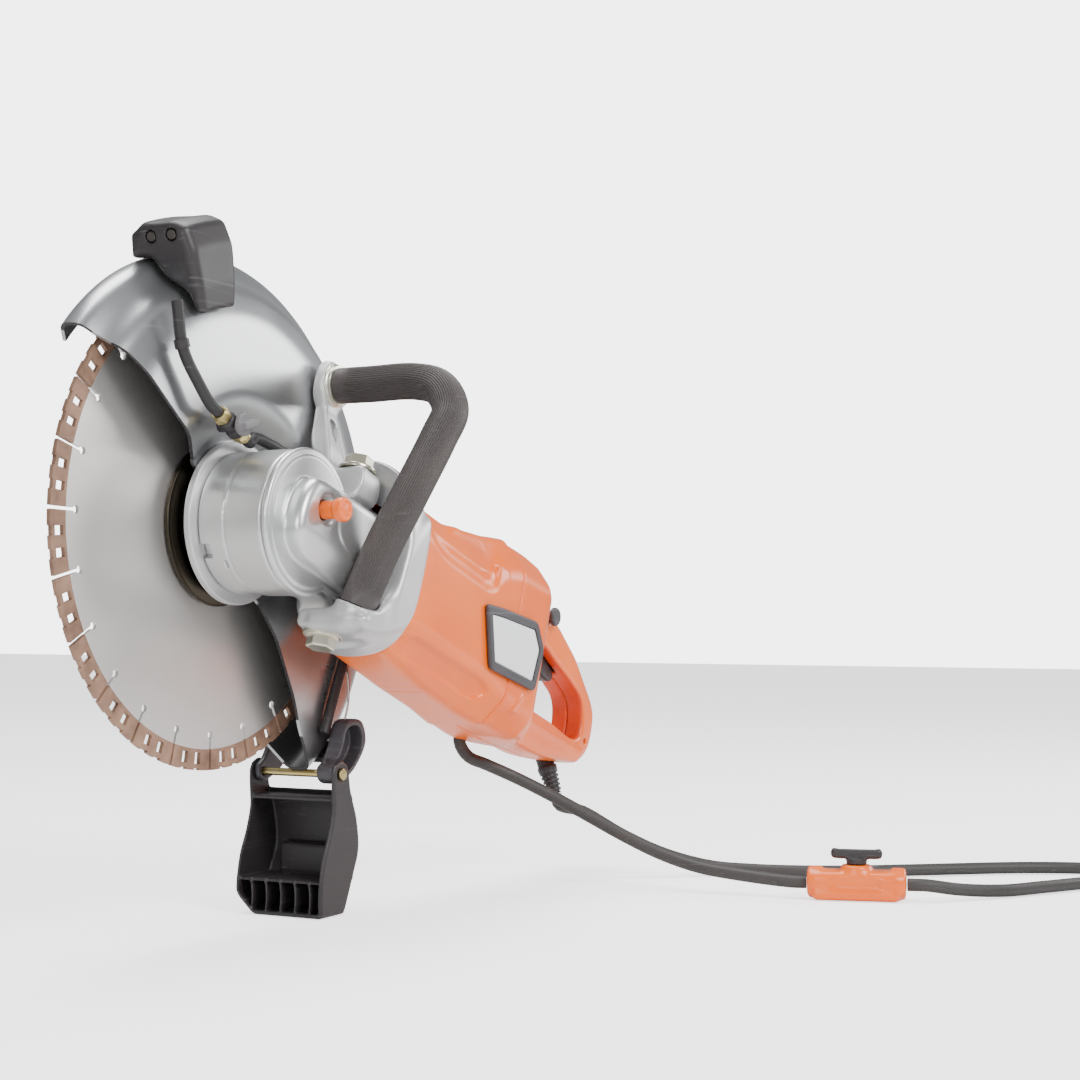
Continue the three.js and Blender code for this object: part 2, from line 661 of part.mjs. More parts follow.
// The cast arm carries the handle's far end, up from the flange's top.
const ARM_X = [-70, -42];
const armEndY = handleStart - CLEAR * 2 - 5;
const ARM_LEDGE_Z = NECK_HALF_Z + 24; // where the upper bolt seats
const ARM_Y0 = 31.5; // just outside the guard's near wall
function bracketArm() {
  const top = HANDLE_TOP_Z;
  const outline = [
    [armEndY, top - 13], [armEndY, top + 13], [armEndY - 4, top + 15], [ARM_Y0 + 1, top + 13], [ARM_Y0, top + 6],
    [ARM_Y0, top - 30], [ARM_Y0 + 3, 84], [44, NECK_HALF_Z + 30], [54, NECK_HALF_Z + CLEAR],
    [86, NECK_HALF_Z + CLEAR], [86, ARM_LEDGE_Z], [60, ARM_LEDGE_Z], [52, 82], [armEndY, 104],
  ];
  const leg = frontPlate(outline, ARM_X[0], ARM_X[1], 2, 1);
  return without(leg, rod(HOUSING_R + 2, 20, 120, 0, 0, 40));
}
add("upper_bracket_arm", bracketArm(), silver);

// Hexagon bolts clamp the handle's two ends: the upper from above, the lower from below.
function hexBolt(x, y, z, way) {
  const head = new THREE.CylinderGeometry(10, 11, 8, 6).rotateX((Math.PI / 2) * way).translate(0, 0, 5 * way);
  const washer = new THREE.CylinderGeometry(14, 14, 2.5, 20).rotateX((Math.PI / 2) * way);
  return joined(head, washer).translate(x, y, z + 1.25 * way);
}
add("upper_bolt", hexBolt(-56, 74, ARM_LEDGE_Z + CLEAR, 1), zinc);

// The flange's lug reaches forward under the neck and takes the handle's near end.
const LUG_Z = [-62, -48];
function lowerLug() {
  const down = HANDLE_END.clone().sub(handlePath[handlePath.length - 2]).normalize();
  const start = HANDLE_END.clone().addScaledVector(down, 1);
  const cup = pinBetween(start, start.clone().addScaledVector(down, 12), HANDLE_TUBE_R + 1.5, 14);
  return joined(cup, block(FLANGE_X1 - 4, -40, 60, 101, ...LUG_Z));
}
add("handle_flange", joined(handleFlange(), lowerLug()), silver);
add("lower_bolt", hexBolt(-57, 72, LUG_Z[0] - CLEAR, -1), zinc);

// ---- Motor housing and rear handle ----
// Reads a value between stations of [x, value], which run rearwards.
function between(stations, x) {
  if (x >= stations[0][0]) return stations[0][1];
  for (let i = 1; i < stations.length; i += 1) {
    const [x0, v0] = stations[i - 1];
    const [x1, v1] = stations[i];
    if (x >= x1) return v0 + ((v1 - v0) * (x0 - x)) / (x0 - x1);
  }
  return stations[stations.length - 1][1];
}

const bodyTop = [[FLANGE_X0, 60], [-179, 65], [-227, 78], [BODY_X0, 88]];
const bodyBottom = [[FLANGE_X0, -62], [-168, -68], [BODY_X0, -70]];
function bodyHull(inset, x0, x1) {
  const section = Array.from({ length: 28 }, (_, i) => {
    const angle = ((i + 0.5) / 28) * 2 * Math.PI;
    const [c, s] = [Math.cos(angle), Math.sin(angle)];
    const r = (c ** 4 + s ** 4) ** -0.25;
    return [r * c, r * s];
  });
  return carried(shapeOf(section), 6, (u, v, t) => {
    const x = x0 + t * (x1 - x0);
    const [high, low] = [between(bodyTop, x) - inset, between(bodyBottom, x) + inset];
    const reach = u > 0 ? BODY_HALF_W : MOTOR_Y - BODY_GUARD_Y;
    return at(x, MOTOR_Y + u * (reach - inset), (high + low) / 2 + (v * (high - low)) / 2);
  });
}
const bodyFront = FLANGE_X0 - CLEAR;
add("motor_housing", without(bodyHull(0, BODY_X0, bodyFront), bodyHull(BODY_WALL, BODY_X0 - 2, bodyFront + 2)), orange);
add(
  "rear_bearing_plate",
  turnedAlongX([
    [13 + CLEAR, REAR_BEARING_X[0] - 2],
    [MOTOR_Y - BODY_GUARD_Y - BODY_WALL - 1, REAR_BEARING_X[0] - 2],
    [MOTOR_Y - BODY_GUARD_Y - BODY_WALL - 1, REAR_BEARING_X[0] + 2],
    [17, REAR_BEARING_X[0] + 2],
    [17, REAR_BEARING_X[1]],
    [13 + CLEAR, REAR_BEARING_X[1]],
  ]),
  silver,
);

function smooth(points, perSpan = 2) {
  const curve = new THREE.CatmullRomCurve3(points.map(([u, v]) => at(u, v, 0)), false, "centripetal");
  return curve.getPoints((points.length - 1) * perSpan).map((p) => [p.x, p.y]);
}

const rearX = BODY_X0 - CLEAR;
const rearOutline = smooth([
  [rearX, 88], [-288, 90], [-318, 84], [-350, 75], [-386, 64], [-420, 51], [-448, 36], [-466, 18],
  [-473, -5], [-470, -27], [-457, -41], [-432, -48], [-391, -57], [-338, -66], [-290, -70], [rearX, -70],
]);
const HOLE_FRONT_X = -340;
const handleHole = smooth([
  [HOLE_FRONT_X, -16], [-344, -23], [-392, -25], [-438, -26], [-448, -20], [-445, 2], [-438, 11],
  [-422, 17], [-385, 25], [-352, 32], [-343, 29], [HOLE_FRONT_X, 20], [HOLE_FRONT_X, 2],
], 1);
const widthOutline = (inset) => {
  const [wide, slim] = [BODY_HALF_W - inset, GRIP_HALF_W - inset];
  const side = [[rearX + 3, wide], [-304, wide], [-318, wide - 6], [-336, slim + 3], [-346, slim], [-480, slim]];
  const far = side.map(([x, y]) => [x, Math.max(MOTOR_Y - y, BODY_GUARD_Y + inset)]).reverse();
  return [...side.map(([x, y]) => [x, MOTOR_Y + y]), ...far];
};
function topPlate(outline, z0, z1) {
  return new THREE.ExtrudeGeometry(shapeOf(outline), { depth: z1 - z0, bevelEnabled: false }).translate(0, 0, z0);
}
const TRIGGER_HALF_W = 6;
const LOCK_OFF = { x: -355, z: 57, r: 8, stem: 5 };
function handleHull(inset) {
  const y0 = BODY_GUARD_Y + inset;
  const bevel = inset > 0 ? 3 : 5;
  const slab = sidePlate(withHoles(rearOutline, handleHole), y0, MOTOR_Y + BODY_HALF_W - inset, bevel, 2, inset);
  return shared(slab, topPlate(widthOutline(inset), -90, 110));
}
const triggerSlot = block(-402, -342, MOTOR_Y - TRIGGER_HALF_W - CLEAR, MOTOR_Y + TRIGGER_HALF_W + CLEAR, 12, 42);
function rearHandle() {
  const frontMouth = block(
    rearX - 6, rearX + 5, BODY_GUARD_Y + 8, MOTOR_Y + BODY_HALF_W - 8, -62, 80,
  );
  const lockHole = rod(LOCK_OFF.stem + CLEAR, MOTOR_Y + 1, MOTOR_Y + GRIP_HALF_W + 8, LOCK_OFF.x, LOCK_OFF.z, 20);
  return without(handleHull(0), handleHull(BODY_WALL), frontMouth, triggerSlot, lockHole);
}
const rearShell = rearHandle();
const halfSpace = (y0, y1) => block(-500, -200, y0, y1, -120, 130);
add("rear_handle_left", shared(rearShell, halfSpace(MOTOR_Y + CLEAR / 2, 200)), orange);
add("rear_handle_right", shared(rearShell, halfSpace(-60, MOTOR_Y - CLEAR / 2)), orange);

const TRIGGER_PIVOT = at(-352, MOTOR_Y, 39);
const TRIGGER_PIN_R = 2;
const triggerOutline = smooth([
  [-346, 40], [-347, 30], [-356, 20], [-376, 13], [-394, 12], [-399, 16], [-396, 22], [-376, 30],
  [-360, 42], [-352, 45],
], 2);
const pivotHole = circle(TRIGGER_PIN_R + CLEAR, 14, [TRIGGER_PIVOT.x, TRIGGER_PIVOT.z]);
add(
  "trigger",
  sidePlate(withHoles(triggerOutline, pivotHole), MOTOR_Y - TRIGGER_HALF_W, MOTOR_Y + TRIGGER_HALF_W),
  blackPlastic,
);
const pinReach = GRIP_HALF_W - BODY_WALL - CLEAR;
add(
  "trigger_pin",
  rod(TRIGGER_PIN_R, MOTOR_Y - pinReach, MOTOR_Y + pinReach, TRIGGER_PIVOT.x, TRIGGER_PIVOT.z, 14),
  steel,
);
add("switch_module", block(-412, -378, MOTOR_Y - 9, MOTOR_Y + 9, 37, 48), blackPlastic);

const gripFace = MOTOR_Y + GRIP_HALF_W;
const LOCK_OFF_STROKE = 3;
add(
  "lock_off_button",
  joined(
    rod(LOCK_OFF.r, gripFace + LOCK_OFF_STROKE + CLEAR, gripFace + LOCK_OFF_STROKE + 5, LOCK_OFF.x, LOCK_OFF.z, 24),
    rod(LOCK_OFF.stem, MOTOR_Y + 6, gripFace + LOCK_OFF_STROKE + 1, LOCK_OFF.x, LOCK_OFF.z, 20),
  ),
  greyPlastic,
);

const badgeOutline = [[-198, 12], [-220, -34], [-296, -28], [-301, 9], [-283, 27], [-226, 18]];
const BADGE_RIM = 7;
const badgeY = MOTOR_Y + BODY_HALF_W + CLEAR;
const badgeInside = (inset, y1) => sidePlate(badgeOutline, badgeY - 1, y1, 0.5, 1, inset);
add(
  "badge_frame",
  without(sidePlate(badgeOutline, badgeY, badgeY + 4, 0.8, 1), badgeInside(BADGE_RIM, badgeY + 6)),
  greyPlastic,
);
add("badge_plate", sidePlate(badgeOutline, badgeY, badgeY + 3, 0.5, 1, BADGE_RIM + CLEAR), badgeFace);

// ---- Guard: turns about the arbor on the collar's spigot ----
const rim = (gap) => BLADE_R + gap;
const guardTopLine = [
  [rim(3), -24.5], [rim(18.5), -17.6], [rim(17), -0.6], [rim(2.5), 8], [rim(-7), 20.5], [rim(-30), 28], [89, 30],
  [66, 19.6], [61, 16.4], [NECK_SPIGOT_R + CLEAR, 16.4],
];
const guardBottomLine = [
  [rim(9), -14.6], [rim(31), -0.6], [rim(31), 18.6], [rim(15), 21], [rim(-6), 21.5], [rim(-31), 25], [94, 25.5],
  [66, 19.6], [61, 16.4], [NECK_SPIGOT_R + CLEAR, 16.4],
];
const loop = (line) => [...line, ...offsetLine(line, GUARD_T).reverse()];
const guardTopLoop = loop(guardTopLine);
const guardBottomLoop = loop(guardBottomLine);
const ease = (t) => t * t * (3 - 2 * t);
function guardPoint(u, v, share) {
  const i = guardTopLoop.findIndex(([r, y]) => Math.hypot(r - u, y - v) < 1e-3);
  const [r1, y1] = guardBottomLoop[i];
  return [u + (r1 - u) * share, v + (y1 - v) * share];
}
function guardShell() {
  const sweep = GUARD_REAR_DEG - GUARD_FRONT_DEG;
  return carried(shapeOf(guardTopLoop), 26, (u, v, t) => {
    const share = ease(THREE.MathUtils.clamp((t - 0.5) / 0.5, 0, 1));
    const [r, y] = guardPoint(u, v, share);
    return polar(r, y, GUARD_FRONT_DEG + t * sweep);
  });
}
add("guard_shell", guardShell(), silver);

// Its handle hugs the rim and comes down over the bevel on the near side.
const handleSection = [
  [rim(19.6), -16], [rim(37), -14], [rim(43), -4], [rim(43), 22], [rim(37), 34], [rim(21), 38], [rim(-5), 37],
  [rim(-23), 34.5], [rim(-23), 27.8], [rim(-6.5), 22.8], [rim(3.4), 8.6], [rim(18), -0.3],
];
function guardHandle() {
  const [from, to] = GUARD_HANDLE_DEG;
  return carried(shapeOf(handleSection), 8, (u, v, t) => {
    const edge = Math.sin(Math.PI * THREE.MathUtils.clamp(t, 0.06, 0.94));
    const foot = rim(25);
    const lift = u > foot ? (u - foot) * (0.55 + 0.45 * edge) + foot : u;
    return polar(lift, v, from + (to - from) * t);
  });
}
add("guard_handle", guardHandle(), blackPlastic);

// ---- Water line on the guard: tap, nuts and hoses ----
const WALL_Y = 31.2; // just clear of the guard's near wall
const HOSE_R = 4;
const TAP_Y = 41;
const tapAt = at(56, TAP_Y, HOUSING_R - 1);
const tapWay = at(0.87, 0, 0.1).normalize();
const alongTap = (distance) => tapAt.clone().addScaledVector(tapWay, distance);
add(
  "tap_body",
  joined(pinBetween(alongTap(-9), alongTap(9), 7, 16), rod(4.5, WALL_Y, TAP_Y + 8, tapAt.x, tapAt.z, 16)),
  blackPlastic,
);
add("brass_nut_1", pinBetween(alongTap(9 + CLEAR), alongTap(17), 6.5, 6), brass);
add("brass_nut_2", pinBetween(alongTap(-9 - CLEAR), alongTap(-17), 6.5, 6), brass);
const knobY = TAP_Y + 8 + CLEAR;
add(
  "tap_knob",
  joined(
    rod(8, knobY, knobY + 4, tapAt.x, tapAt.z, 20),
    block(-8, 8, knobY + 3, knobY + 11, -2.5, 2.5).rotateY(0.6).translate(tapAt.x, 0, tapAt.z),
  ),
  greyPlastic,
);
add(
  "upper_hose",
  tube(
    [alongTap(17 + CLEAR), alongTap(26), at(97, 39, 62), polar(rim(-32.7), 37, 33.2), polar(rim(-3.4), 36, 38.1)],
    HOSE_R, 8, 8,
  ),
  blackPlastic,
);
// The inner hose runs round the gear housing and into the guard's wall.
const innerHose = [
  alongTap(-17 - CLEAR), alongTap(-24), polar(HOUSING_R + 9, TAP_Y - 3, 66), polar(HOUSING_R + 8, TAP_Y - 4, 86),
  polar(HOUSING_R + 12, TAP_Y - 5, 104), polar(HOUSING_R + 21, WALL_Y + HOSE_R + 0.2, 116),
];
add("inner_hose", tube(innerHose, HOSE_R, 9, 8), blackPlastic);
const lowerHose = [
  polar(rim(-14), 27.4, 194), polar(rim(-11), 26.9, 198), polar(rim(-6), 26.4, 204), polar(rim(3), 26, 211),
  polar(rim(11), 26, 216),
];
add("lower_hose", tube(lowerHose, HOSE_R, 7, 8), blackPlastic);

// ---- Spray flap under the guard's lower end; it hangs on a pin and its sole is what the saw stands on ----
const flapHinge = polar(FLAP_HINGE_R, 0, FLAP_HINGE_DEG);
const flapGroup = new THREE.Group();
flapGroup.position.copy(flapHinge);
stand.add(flapGroup);
const soleZ = SOLE_Z - flapHinge.z;
const flapOutline = smooth([
  [9, -6], [12, -20], [17, -38], [24, -62], [30, soleZ + 14], [30, soleZ + 3], [27, soleZ],
], 2).concat([[-34, soleZ]], smooth([[-37, soleZ + 5], [-36, soleZ + 40], [-30, -40], [-20, -18], [-11, -4]], 2),
  smooth([[-8, 6], [0, 10], [8, 6]], 2));
function sprayFlap() {
  const [y0, y1] = FLAP_Y;
  const shell = sidePlate(flapOutline, y0, y1);
  const room = block(-31, 60, y0 + FLAP_WALL, y1 - FLAP_WALL, soleZ + FLAP_WALL, 20);
  const ribs = [];
  for (let k = 1; k < 6; k += 1) {
    const y = y0 + ((y1 - y0) * k) / 6;
    ribs.push(block(-32, 24, y - 1, y + 1, soleZ + 1, soleZ + 26));
  }
  ribs.push(block(-32, 22, y0 + 1, y1 - 1, soleZ + 25, soleZ + 27.5));
  const pinHole = rod(FLAP_PIN_R + CLEAR, y0 - 1, y1 + 1, 0, 0, 16);
  return without(joined(without(shell, room), ...ribs), pinHole);
}
add("spray_flap", sprayFlap(), blackPlastic, flapGroup);
add("flap_pin", rod(FLAP_PIN_R, FLAP_Y[0] - 2, FLAP_Y[1] + 2, 0, 0, 16), brass, flapGroup);

// The bracket on the guard's end carries the flap's pin between two lugs.
const BRACKET_DEG = [208, 217];
const BRACKET_R = [rim(31.8), rim(37)];
const lugGap = FLAP_WALL + CLEAR;
const lugY = [[FLAP_Y[0] + lugGap, FLAP_Y[0] + lugGap + 4], [FLAP_Y[1] - lugGap - 15.5, FLAP_Y[1] - lugGap]];
function sprayBracket() {
  const bar = shapeOf([
    [BRACKET_R[0], lugY[0][0]], [BRACKET_R[1], lugY[0][0]], [BRACKET_R[1], lugY[1][1]], [BRACKET_R[0], lugY[1][1]],
  ]);
  const turn = THREE.MathUtils.radToDeg(NOSE_UP);
  const cross = carried(bar, 3, (u, v, t) => {
    const angle = BRACKET_DEG[0] + (BRACKET_DEG[1] - BRACKET_DEG[0]) * t + turn;
    return polar(u, v, angle).sub(flapHinge);
  });
  const lugOutline = smooth([
    [7, -2], [7, 5], [0, 10], [-8, 22], [-16, 38], [-34, 38], [-40, 22], [-24, 2], [-7, -6], [0, -7.5], [5, -5], [7, -2],
  ], 1).slice(0, -1);
  const hole = circle(FLAP_PIN_R + CLEAR, 14);
  return joined(cross, ...lugY.map(([y0, y1]) => sidePlate(withHoles(lugOutline, hole), y0, y1)));
}
add("spray_bracket", sprayBracket(), blackPlastic, flapGroup);

// ---- Power cord, water hose and what is on them, lying on the floor ----
const lineZ = SOLE_Z + CORD_R + CLEAR;
const cordExit = at(-386, 71, -198);
const cordWay = at(0.02, 0.35, -0.94).normalize();
const RELIEF_L = 24;
const reliefEnd = cordExit.clone().addScaledVector(cordWay, RELIEF_L);
function strainRelief() {
  const cone = turned([[0, 0], [8.5, 0], [8, 6], [CORD_R + 0.8, RELIEF_L], [0, RELIEF_L]], 16);
  const turn = new THREE.Quaternion().setFromUnitVectors(at(0, 1, 0), cordWay);
  return cone.applyQuaternion(turn).translate(cordExit.x, cordExit.y, cordExit.z);
}
add("strain_relief", strainRelief(), blackPlastic, stand);

const coilAt = at(-625, 580, SOLE_Z);
const powerPath = [
  reliefEnd.clone().addScaledVector(cordWay, CLEAR),
  reliefEnd.clone().addScaledVector(cordWay, 10),
  at(-381, 108, -234), at(-392, 140, -253), at(-407, 172, -269), at(-428, 206, -280), at(-441, 240, lineZ),
  at(-449, 278, lineZ), at(-468, 318, lineZ), at(-497, 358, lineZ), at(-526, 396, lineZ), at(-556, 438, lineZ),
  at(-575, 480, lineZ), at(-581, 518, lineZ),
];
add("power_cord", tube(powerPath, CORD_R, 26, 8), rubber, stand);

const COIL_TURNS = { across: 2, high: 2 };
const coilHalf = COIL_TURNS.across * CORD_R + CLEAR;
const coilH = 2 * CORD_R * COIL_TURNS.high;
function coilRing() {
  const [r0, r1] = [COIL_TURN_R - coilHalf, COIL_TURN_R + coilHalf];
  return turned([[r0, 0], [r1, 0], [r1, coilH], [r0, coilH]], 28)
    .rotateX(Math.PI / 2)
    .translate(coilAt.x, coilAt.y, SOLE_Z + CLEAR);
}
add("cord_coil", coilRing(), rubber, stand);

const PLUG = { r: 18, length: 40, tail: 20, tailR: 6.5, pinR: 2.4, pinL: 18, pinGap: 9.5 };
function plugSolid() {
  const z = SOLE_Z + PLUG.r + CLEAR;
  const body = turned(
    [
      [0, 0], [PLUG.tailR - 0.5, 0], [PLUG.tailR, PLUG.tail], [PLUG.r - 3, PLUG.tail + 3], [PLUG.r, PLUG.tail + 9],
      [PLUG.r, PLUG.tail + PLUG.length], [0, PLUG.tail + PLUG.length],
    ],
    20,
  );
  const pins = [-1, 1].map((way) =>
    rod(PLUG.pinR, PLUG.tail + PLUG.length - 1, PLUG.tail + PLUG.length + PLUG.pinL, way * PLUG.pinGap, 0, 10),
  );
  return joined(body, ...pins)
    .rotateZ(Math.PI / 2)
    .translate(coilAt.x - 31, coilAt.y + COIL_TURN_R + coilHalf + PLUG.tailR, z);
}
add("power_plug", plugSolid(), blackPlastic, stand);

const VALVE = { length: 78, width: 30, height: 27, turn: 1.83, at: at(-351, 361, SOLE_Z) };
const valve = new THREE.Group();
valve.position.copy(VALVE.at);
valve.rotation.z = VALVE.turn;
stand.add(valve);
const valveEnd = (way, gap = 0) => {
  const reach = way * (VALVE.length / 2 + gap);
  return at(Math.cos(VALVE.turn) * reach, Math.sin(VALVE.turn) * reach, 0).add(VALVE.at).setZ(lineZ + 7);
};
function valveBlock() {
  const h = VALVE.length / 2;
  const w = VALVE.width / 2;
  const body = new THREE.ExtrudeGeometry(
    shapeOf([[-h, -w + 6], [-h + 8, -w], [h - 8, -w], [h, -w + 6], [h, w - 6], [h - 8, w], [-h + 8, w], [-h, w - 6]]),
    { depth: VALVE.height - CLEAR, bevelEnabled: false },
  ).translate(0, 0, CLEAR);
  return body;
}
add("valve_block", valveBlock(), orange, valve);
const stemZ = VALVE.height + CLEAR;
add(
  "valve_lever",
  joined(
    rod(8, 0, 5, 0, 0, 20).rotateX(Math.PI / 2).translate(0, 0, stemZ),
    block(-20, 20, -4, 4, stemZ + 4, stemZ + 13),
  ),
  blackPlastic,
  valve,
);

const hoseExit = at(-271, 56, -181);
const hosePath = [
  hoseExit, at(-280, 68, -188), at(-294, 88, -199), at(-308, 112, -213), at(-319, 142, -230), at(-326, 172, -246),
  at(-330, 202, -259), at(-332, 234, -268), at(-334, 264, -272), valveEnd(-1, 12), valveEnd(-1, CLEAR),
];
add("water_hose", tube(hosePath, CORD_R, 22, 8), rubber, stand);
const outPath = [
  valveEnd(1, CLEAR), valveEnd(1, 14), at(-384, 434, -280), at(-412, 460, lineZ), at(-450, 486, lineZ),
  at(-490, 512, lineZ), at(-520, 542, lineZ), at(-536, 576, lineZ),
];
add("water_hose_end", tube(outPath, CORD_R, 16, 8), rubber, stand);
const CONNECTOR = { r: 9.5, length: 44 };
function hoseConnector() {
  const end = outPath[outPath.length - 1];
  const way = end.clone().sub(outPath[outPath.length - 2]).normalize();
  const cone = turned(
    [
      [0, 0.5], [CORD_R + 2, 0.5], [CORD_R + 2.5, 12], [CONNECTOR.r, 14], [CONNECTOR.r, 30], [CONNECTOR.r - 2, 32],
      [CONNECTOR.r - 2.5, CONNECTOR.length], [0, CONNECTOR.length],
    ],
    18,
  );
  const turn = new THREE.Quaternion().setFromUnitVectors(at(0, 1, 0), way.setZ(0).normalize());
  return cone.applyQuaternion(turn).translate(end.x, end.y, SOLE_Z + CONNECTOR.r + CLEAR);
}
add("hose_connector", hoseConnector(), brass, stand);

export default group;
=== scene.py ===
"""An electric concrete cut-off saw: its finished surfaces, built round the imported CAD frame.

Sizes are in millimetres in the saw's own axes and go to metres only when a mesh is made.
The machine's axes are turned nose-up about the blade's arbor; x runs forwards, y to the gear cap, z up.
"""

import copy
import json
import logging
import math
from dataclasses import dataclass, field
from enum import Enum
from typing import Callable, Optional, Sequence

import bmesh
import bpy
import numpy as np
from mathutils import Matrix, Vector


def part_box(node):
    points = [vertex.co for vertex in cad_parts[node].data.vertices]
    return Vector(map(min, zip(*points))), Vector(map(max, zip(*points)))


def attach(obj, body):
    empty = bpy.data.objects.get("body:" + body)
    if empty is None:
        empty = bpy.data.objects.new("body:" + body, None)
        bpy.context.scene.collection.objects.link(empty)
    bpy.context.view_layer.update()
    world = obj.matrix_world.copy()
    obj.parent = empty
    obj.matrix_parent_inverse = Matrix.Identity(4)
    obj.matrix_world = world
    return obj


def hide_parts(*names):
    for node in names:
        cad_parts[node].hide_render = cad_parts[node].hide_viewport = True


LOG = logging.getLogger("saw")
MM = 0.001
NOSE_UP = math.radians(20.0)
GAP = 0.3
Points = np.ndarray

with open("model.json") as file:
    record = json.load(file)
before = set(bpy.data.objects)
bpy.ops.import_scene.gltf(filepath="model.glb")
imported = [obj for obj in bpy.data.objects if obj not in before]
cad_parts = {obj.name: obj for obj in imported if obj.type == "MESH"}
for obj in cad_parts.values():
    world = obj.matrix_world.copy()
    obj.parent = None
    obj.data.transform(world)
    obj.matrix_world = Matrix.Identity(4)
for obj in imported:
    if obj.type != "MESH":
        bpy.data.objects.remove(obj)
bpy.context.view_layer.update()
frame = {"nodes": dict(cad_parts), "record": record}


class Body(Enum):
    """The rigid bodies that pieces ride on."""

    MACHINE = "machine"
    SPINDLE = "spindle"
    GUARD = "guard"
    TAP = "tap_knob"
    FLAP = "spray_flap"
    LOCK = "spindle_lock"
    TRIGGER = "trigger"
    LOCK_OFF = "lock_off"
    VALVE = "valve_lever"


def arbor_point() -> Points:
    """Returns the blade's centre in millimetres, read from the frame's flange and blade."""
    low, high = (np.array(c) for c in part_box("inner_flange"))
    blade_low, blade_high = (np.array(c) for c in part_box("blade"))
    middle = (low + high) / 2
    middle[1] = (blade_low[1] + blade_high[1]) / 2
    return middle / MM


ARBOR = arbor_point()


def from_machine(points: Points) -> Points:
    """Turns machine axes nose-up about the arbor.

    Args:
        points: an (n, 3) array in millimetres, in machine axes.
    Returns:
        The same points in metres, in the frame's axes: x' = x cos a - z sin a, z' = x sin a + z cos a.
    """
    p = np.asarray(points, float)
    c, s = math.cos(NOSE_UP), math.sin(NOSE_UP)
    turned = np.stack([p[:, 0] * c - p[:, 2] * s, p[:, 1], p[:, 0] * s + p[:, 2] * c], 1)
    return (turned + ARBOR) * MM


def from_stand(points: Points) -> Points:
    """Moves unturned points, measured from the arbor in millimetres, to the frame in metres."""
    return (np.asarray(points, float) + ARBOR) * MM


# ---------------------------------------------------------------- meshes


def make_object(name: str, points: Points, faces: Points, sharp_deg: float = 35.0) -> bpy.types.Object:
    """Puts arrays of points and faces into a closed, outward-facing, smooth mesh.

    Args:
        name: the piece's name.
        points: (n, 3) positions in metres.
        faces: rows of vertex numbers, all of one length, or a list of such arrays.
        sharp_deg: edges bent more than this stay crisp.
    Returns:
        The new object, linked to the scene.
    """
    mesh = bpy.data.meshes.new(name)
    rows = faces if isinstance(faces, list) else [faces]
    mesh.from_pydata(points, [], [face for block in rows for face in np.asarray(block).tolist()])
    work = bmesh.new()
    work.from_mesh(mesh)
    bmesh.ops.remove_doubles(work, verts=work.verts, dist=1e-6)
    bmesh.ops.dissolve_degenerate(work, edges=work.edges, dist=1e-7)
    bmesh.ops.recalc_face_normals(work, faces=work.faces)
    work.to_mesh(mesh)
    work.free()
    mesh.shade_smooth()
    mesh.set_sharp_from_angle(angle=math.radians(sharp_deg))
    piece = bpy.data.objects.new(name, mesh)
    bpy.context.scene.collection.objects.link(piece)
    return piece


def grid_faces(rows: int, columns: int, wrap_rows: bool = False, wrap_columns: bool = True) -> Points:
    """Returns the quads of a rows by columns grid, closed on itself where asked."""
    i = np.arange(rows if wrap_rows else rows - 1)
    j = np.arange(columns if wrap_columns else columns - 1)
    a, b = (m.ravel() for m in np.meshgrid(i, j, indexing="ij"))
    a1, b1 = (a + 1) % rows, (b + 1) % columns
    return np.stack([a * columns + b, a * columns + b1, a1 * columns + b1, a1 * columns + b], 1)


def rounded(profile: Sequence[Sequence[float]], radius: float, steps: int = 4,
        closed: bool = False) -> Points:
    """Rounds the corners of a line: each becomes a quadratic curve between points a radius away.

    Args:
        profile: the corner points.
        radius: how far the rounding reaches along each side, at most 45% of it.
        steps: points along each rounded corner.
        closed: whether the last point joins the first.
    Returns:
        The rounded line's points.
    """
    p = np.asarray(profile, float)
    n = len(p)
    out = [] if closed else [p[0]]
    t = np.linspace(0, 1, steps)[:, None]
    for i in range(n) if closed else range(1, n - 1):
        before, here, after = p[i - 1], p[i], p[(i + 1) % n]
        back, forth = before - here, after - here
        lengths = np.linalg.norm(back), np.linalg.norm(forth)
        reach = min(radius, 0.45 * lengths[0], 0.45 * lengths[1])
        a, b = here + back / lengths[0] * reach, here + forth / lengths[1] * reach
        out.extend((1 - t) ** 2 * a + 2 * t * (1 - t) * here + t**2 * b)
    if not closed:
        out.append(p[-1])
    return np.array(out)


